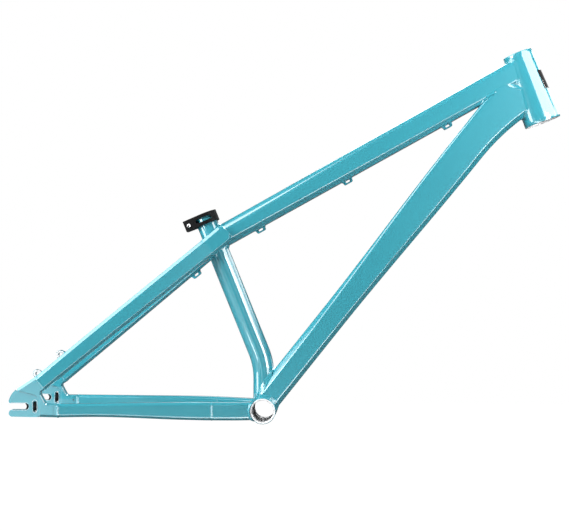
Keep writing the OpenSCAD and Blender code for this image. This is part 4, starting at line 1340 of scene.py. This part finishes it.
print("a wire can be added, subtracted, multiplied, turned negative and made positive")

# %% [markdown]
# ### Gloss paint
#
# The frame is powder coated turquoise under a clear coat. The colour is slightly uneven at the scale of a
# hand, the surface has the faint ripple called orange peel, a millimetre or two wide, and very fine dust
# dulls it in specks. The coat gives the sharp reflections and the paint under it the softer ones.

# %% Turquoise paint
paint = Finish("turquoise_paint", coat_weight=1.0, coat_roughness=0.035, coat_ior=2.2, ior=1.4)
dust = paint.noise(2600).between(0.62, 0.75)
paint.set(base_color=paint.tint(paint.noise(9), (0.036, 0.375, 0.475), (0.050, 0.43, 0.53)),
          roughness=0.28 + 0.1 * dust)
paint.bump(paint.noise(420), 0.00001, 0.05)

# %% [markdown]
# ### Anodised black and bright steel
#
# Anodised aluminium is matt black with a soft sheen and a very fine grain. The small hardware is bright
# plated steel. Both are a metal or a dark shell whose roughness varies finely, never a plain colour.

# %% Black anodised
black = Finish("black_anodised", coat_weight=0.0, specular_ior_level=0.1, metallic=0.0)
grain = black.noise(5200)
black.set(base_color=black.tint(black.noise(60), (0.004, 0.004, 0.0045), (0.010, 0.010, 0.011)),
          roughness=0.42 + 0.16 * grain)
black.bump(grain, 0.000006, 0.6)

# %% Bright steel
steel = Finish("bright_steel", metallic=1.0)
grain = steel.noise(3800, 3.0)
steel.set(base_color=steel.tint(steel.noise(140), (0.62, 0.63, 0.64), (0.80, 0.80, 0.81)),
          roughness=0.1 + 0.12 * grain)
steel.bump(grain, 0.000004, 0.5)

# %% [markdown]
# ### Bare aluminium
#
# Bores and end faces are machined after painting, and a cutter leaves fine turned lines: a wave texture
# in bands. The shell's threads are the same metal, but beyond the first turns their colour is painted dark,
# as painted shade inside the bore, so that finish is dark between two distances from the frame's middle.

# %% Machined aluminium
bare = Finish("machined_aluminium", metallic=0.45)
turning = bare.node("ShaderNodeTexWave", {"wave_type": "BANDS", "bands_direction": "Y"},
                    {"Vector": bare.place, "Scale": 900.0, "Distortion": 1.5, "Detail": 1.0})
bare.set(base_color=bare.tint(bare.noise(90), (0.84, 0.85, 0.86), (0.93, 0.93, 0.94)),
         roughness=0.36 + 0.14 * turning)
bare.bump(turning, 0.000006, 0.5)

# %% Threads, with painted shade beyond their first turns
oiled = Finish("thread_aluminium", metallic=0.3)
depth = abs(oiled.node("ShaderNodeSeparateXYZ", inputs=[oiled.place], output="Y"))
# Painted shade: the relief and a band of threads further in are coloured near black.
relief = 1 - depth.between(0.0105, 0.012)
groove = depth.between(0.0225, 0.024) - depth.between(0.0285, 0.030)
oiled.set(base_color=oiled.tint(relief + groove, (0.86, 0.87, 0.88), (0.015, 0.02, 0.022)),
          roughness=0.4 + 0.1 * oiled.noise(900))
print(f"{oiled.material.name}: {len(oiled.tree.nodes)} nodes")

# %% [markdown]
# ## Studio
#
# Gloss paint shows its surroundings, so the studio is mostly large soft panels. Light on the paint and
# mirror images in it are set apart. Panels marked matt light the colour but are not mirrored, and strips
# marked gloss are only mirrored: they draw the bright bands on the facets without washing out the colour.
# The side of the frame that faces the camera mirrors the dark side of the room, so its own colour shows.

# %% Soft panels
def aim(thing, at, target):
    """Sets a lamp in its place, turned towards a point."""
    thing.location = at
    toward = mathutils.Vector(target) - mathutils.Vector(at)
    thing.rotation_euler = toward.to_track_quat("-Z", "Y").to_euler()
    bpy.context.scene.collection.objects.link(thing)


MIDDLE = (0.03, 0, 0.25)
PANELS = [
    ("panel_left", "matt", (-1.85, -1.0, 1.85), (3.2, 2.6), 68, MIDDLE),
    ("panel_rear_fill", "both", (-1.5, -0.9, 0.7), (0.8, 0.7), 15, (-0.25, 0, 0.1)),
    ("panel_right", "both", (1.13, -0.22, 0.9), (1.35, 0.7), 12.5, (0.61, 0.636, 0.9)),
    ("panel_low_left", "both", (-2.1, -0.6, -0.05), (0.9, 0.5), 6, MIDDLE),
    ("panel_low_right", "both", (1.05, -0.87, -0.03), (0.5, 0.5), 3, (0.4, 0, 0.47)),
    ("panel_front_top", "matt", (-0.75, -1.6, 1.9), (1.4, 1.2), 12, (-0.1, 0, 0.15)),
    ("panel_back_top", "both", (0.2, 1.8, 1.9), (1.5, 1.5), 40, MIDDLE),
    ("strip_right", "gloss", (0.95, -0.7, 0.42), (0.5, 0.6), 7, (-0.05, 0, 0.15)),
    ("strip_head", "gloss", (1.5, 0.75, 0.95), (1.8, 0.4), 6, (0.42, 0, 0.5)),
    ("strip_left", "gloss", (-2.1, -0.6, 1.75), (2.4, 2.0), 40, MIDDLE),
    ("strip_top", "gloss", (-1.0, -1.35, 1.8), (0.5, 0.7), 3.5, MIDDLE),
    ("strip_low", "gloss", (0.0, -0.85, -0.32), (1.6, 0.35), 9, (0.0, 0, 0.2))]
for name, seen_by, at, size, watts, target in PANELS:
    lamp = bpy.data.lights.new(name, "AREA")
    lamp.shape, lamp.energy = "RECTANGLE", watts
    lamp.size, lamp.size_y = size
    lamp = bpy.data.objects.new(name, lamp)
    lamp.visible_glossy, lamp.visible_diffuse = seen_by != "matt", seen_by != "gloss"
    aim(lamp, at, target)
    print(f"{name}: {watts} W, seen by {seen_by}")

# %% [markdown]
# ### Room
#
# The room itself is dim. Mirrored in the gloss it has two pale walls, one to the rear and one to the
# front, which give the long tubes their soft gradients. Straight behind the frame the camera sees white.

# %% Room light
world = bpy.data.worlds.new("room")
bpy.context.scene.world = world
room = Graph(world, "ShaderNodeOutputWorld")
way = room.node("ShaderNodeSeparateXYZ", inputs=[room.node("ShaderNodeTexCoord")])
tall = way.output("Z")
ray = room.node("ShaderNodeLightPath")
level_with_us = (1 - abs(tall).between(0.2, 0.42)) * (1 - abs(way).between(0.34, 0.42))
rear = (-way).between(0.2, 0.25) * (-tall).between(0.04, 0.1)
front = 0.5 * way.between(0.02, 0.3) * tall.between(-0.1, -0.02)
walls = ray.output("Is Glossy Ray") * (level_with_us * (front + rear))
sky = room.plain("ShaderNodeBackground", (0.93, 0.97, 1.0), 0.1 + walls)
white = room.plain("ShaderNodeBackground", (1, 1, 1), 1.0)
room.feed(room.end, "Surface", room.node("ShaderNodeMixShader", inputs=[ray, sky, white]))
print("room:", len(room.tree.nodes), "nodes")

# %% [markdown]
# ### Floor and backdrop
#
# Both are planes that the camera sees as even white, while mirrored in the gloss they are dull, because a
# white wall in every reflection would wash the colour out. A Mix Shader chooses by the kind of ray.

# %% Floor and backdrop
FLOOR = -0.34


def dulled(finish, gloss, dull):
    """The finish's own surface, darker for rays that come from a reflection."""
    dark = finish.plain("ShaderNodeEmission", (0, 0, 0), 0.0)
    return finish.node("ShaderNodeMixShader", inputs=[gloss * dull, finish.surface, dark])


def plane(name, corners, finish, share, matt, glow):
    """A plane that shows a glow where the share is 1 and its matt side where the share is 0."""
    shine = finish.plain("ShaderNodeEmission", (1, 1, 1), glow)
    finish.feed(finish.end, "Surface", finish.node("ShaderNodeMixShader", inputs=[share, matt, shine]))
    mesh = bpy.data.meshes.new(name)
    mesh.from_pydata(corners, [], [(0, 1, 2, 3)])
    mesh.materials.append(finish.material)
    thing = bpy.data.objects.new(name, mesh)
    bpy.context.scene.collection.objects.link(thing)
    print(f"{name}: {len(finish.tree.nodes)} nodes, glow {glow}")


pale = Finish("pale_floor", roughness=0.9, base_color=(0.25, 0.25, 0.25, 1))
seen = pale.node("ShaderNodeLightPath", output="Is Camera Ray")
gloss = seen.output("Is Glossy Ray")
near_us = (-pale.node("ShaderNodeSeparateXYZ", inputs=[pale.place], output="Y")).between(0.1, 0.9)
plane("floor", [(-25, -2.4, FLOOR), (25, -2.4, FLOOR), (25, 6, FLOOR), (-25, 6, FLOOR)], pale,
      seen * 0.85 + gloss * 0.5 * near_us, dulled(pale, gloss, 0.5), 1.17)

screen = Finish("white_backdrop", roughness=0.9, base_color=(0.9, 0.9, 0.9, 1))
seen = screen.node("ShaderNodeLightPath", output="Is Camera Ray")
plane("backdrop", [(-25, 3.2, FLOOR), (25, 3.2, FLOOR), (25, 3.2, 8), (-25, 3.2, 8)], screen,
      seen, dulled(screen, seen.output("Is Glossy Ray"), 0.7), 1.0)

# %% [markdown]
# ## Camera
#
# A side view from the drive side, square to the frame's plane.

# %% Camera
lens = bpy.data.cameras.new("camera")
lens.lens, lens.sensor_width = 75.73, 36
lens.shift_x, lens.shift_y = -0.1063, 0.0167
camera = bpy.data.objects.new("camera", lens)
camera.location = (0.1336, -1.975, 0.2207)
camera.rotation_euler = (pi / 2, 0, 0)
bpy.context.scene.collection.objects.link(camera)
bpy.context.scene.camera = camera
bpy.context.scene.view_settings.view_transform = "Standard"
print("camera at", tuple(round(x, 3) for x in camera.location))

# %% [markdown]
# ## Putting the finishes on
#
# Each piece was given the name of its finish when it was made. Bores, rims and faces that are machined
# after painting get the bare metal instead, and the imported model's own pieces get the paint.

# %% Materials onto pieces
def coat(thing, finish):
    """Gives a thing one material."""
    thing.data.materials.clear()
    thing.data.materials.append(finish.material)


FINISHES = {"turquoise_paint": paint, "black_anodised": black, "bright_steel": steel}
MACHINED = ("shell_face", "head_tube_bores", "brake_face", "brake_hole", "seat_tube_bore", "window_rim",
            "slot_rim")
for thing in bpy.data.objects:
    if thing.type == "MESH" and "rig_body" in thing and "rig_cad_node" not in thing:
        machined = thing.name.startswith(MACHINED)
        coat(thing, bare if machined else FINISHES[thing.get("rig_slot", "turquoise_paint")])
coat(threads, oiled)
for node in frame["nodes"].values():
    coat(node, paint)
print(len([m for m in bpy.data.materials if m.users]), "materials in use")
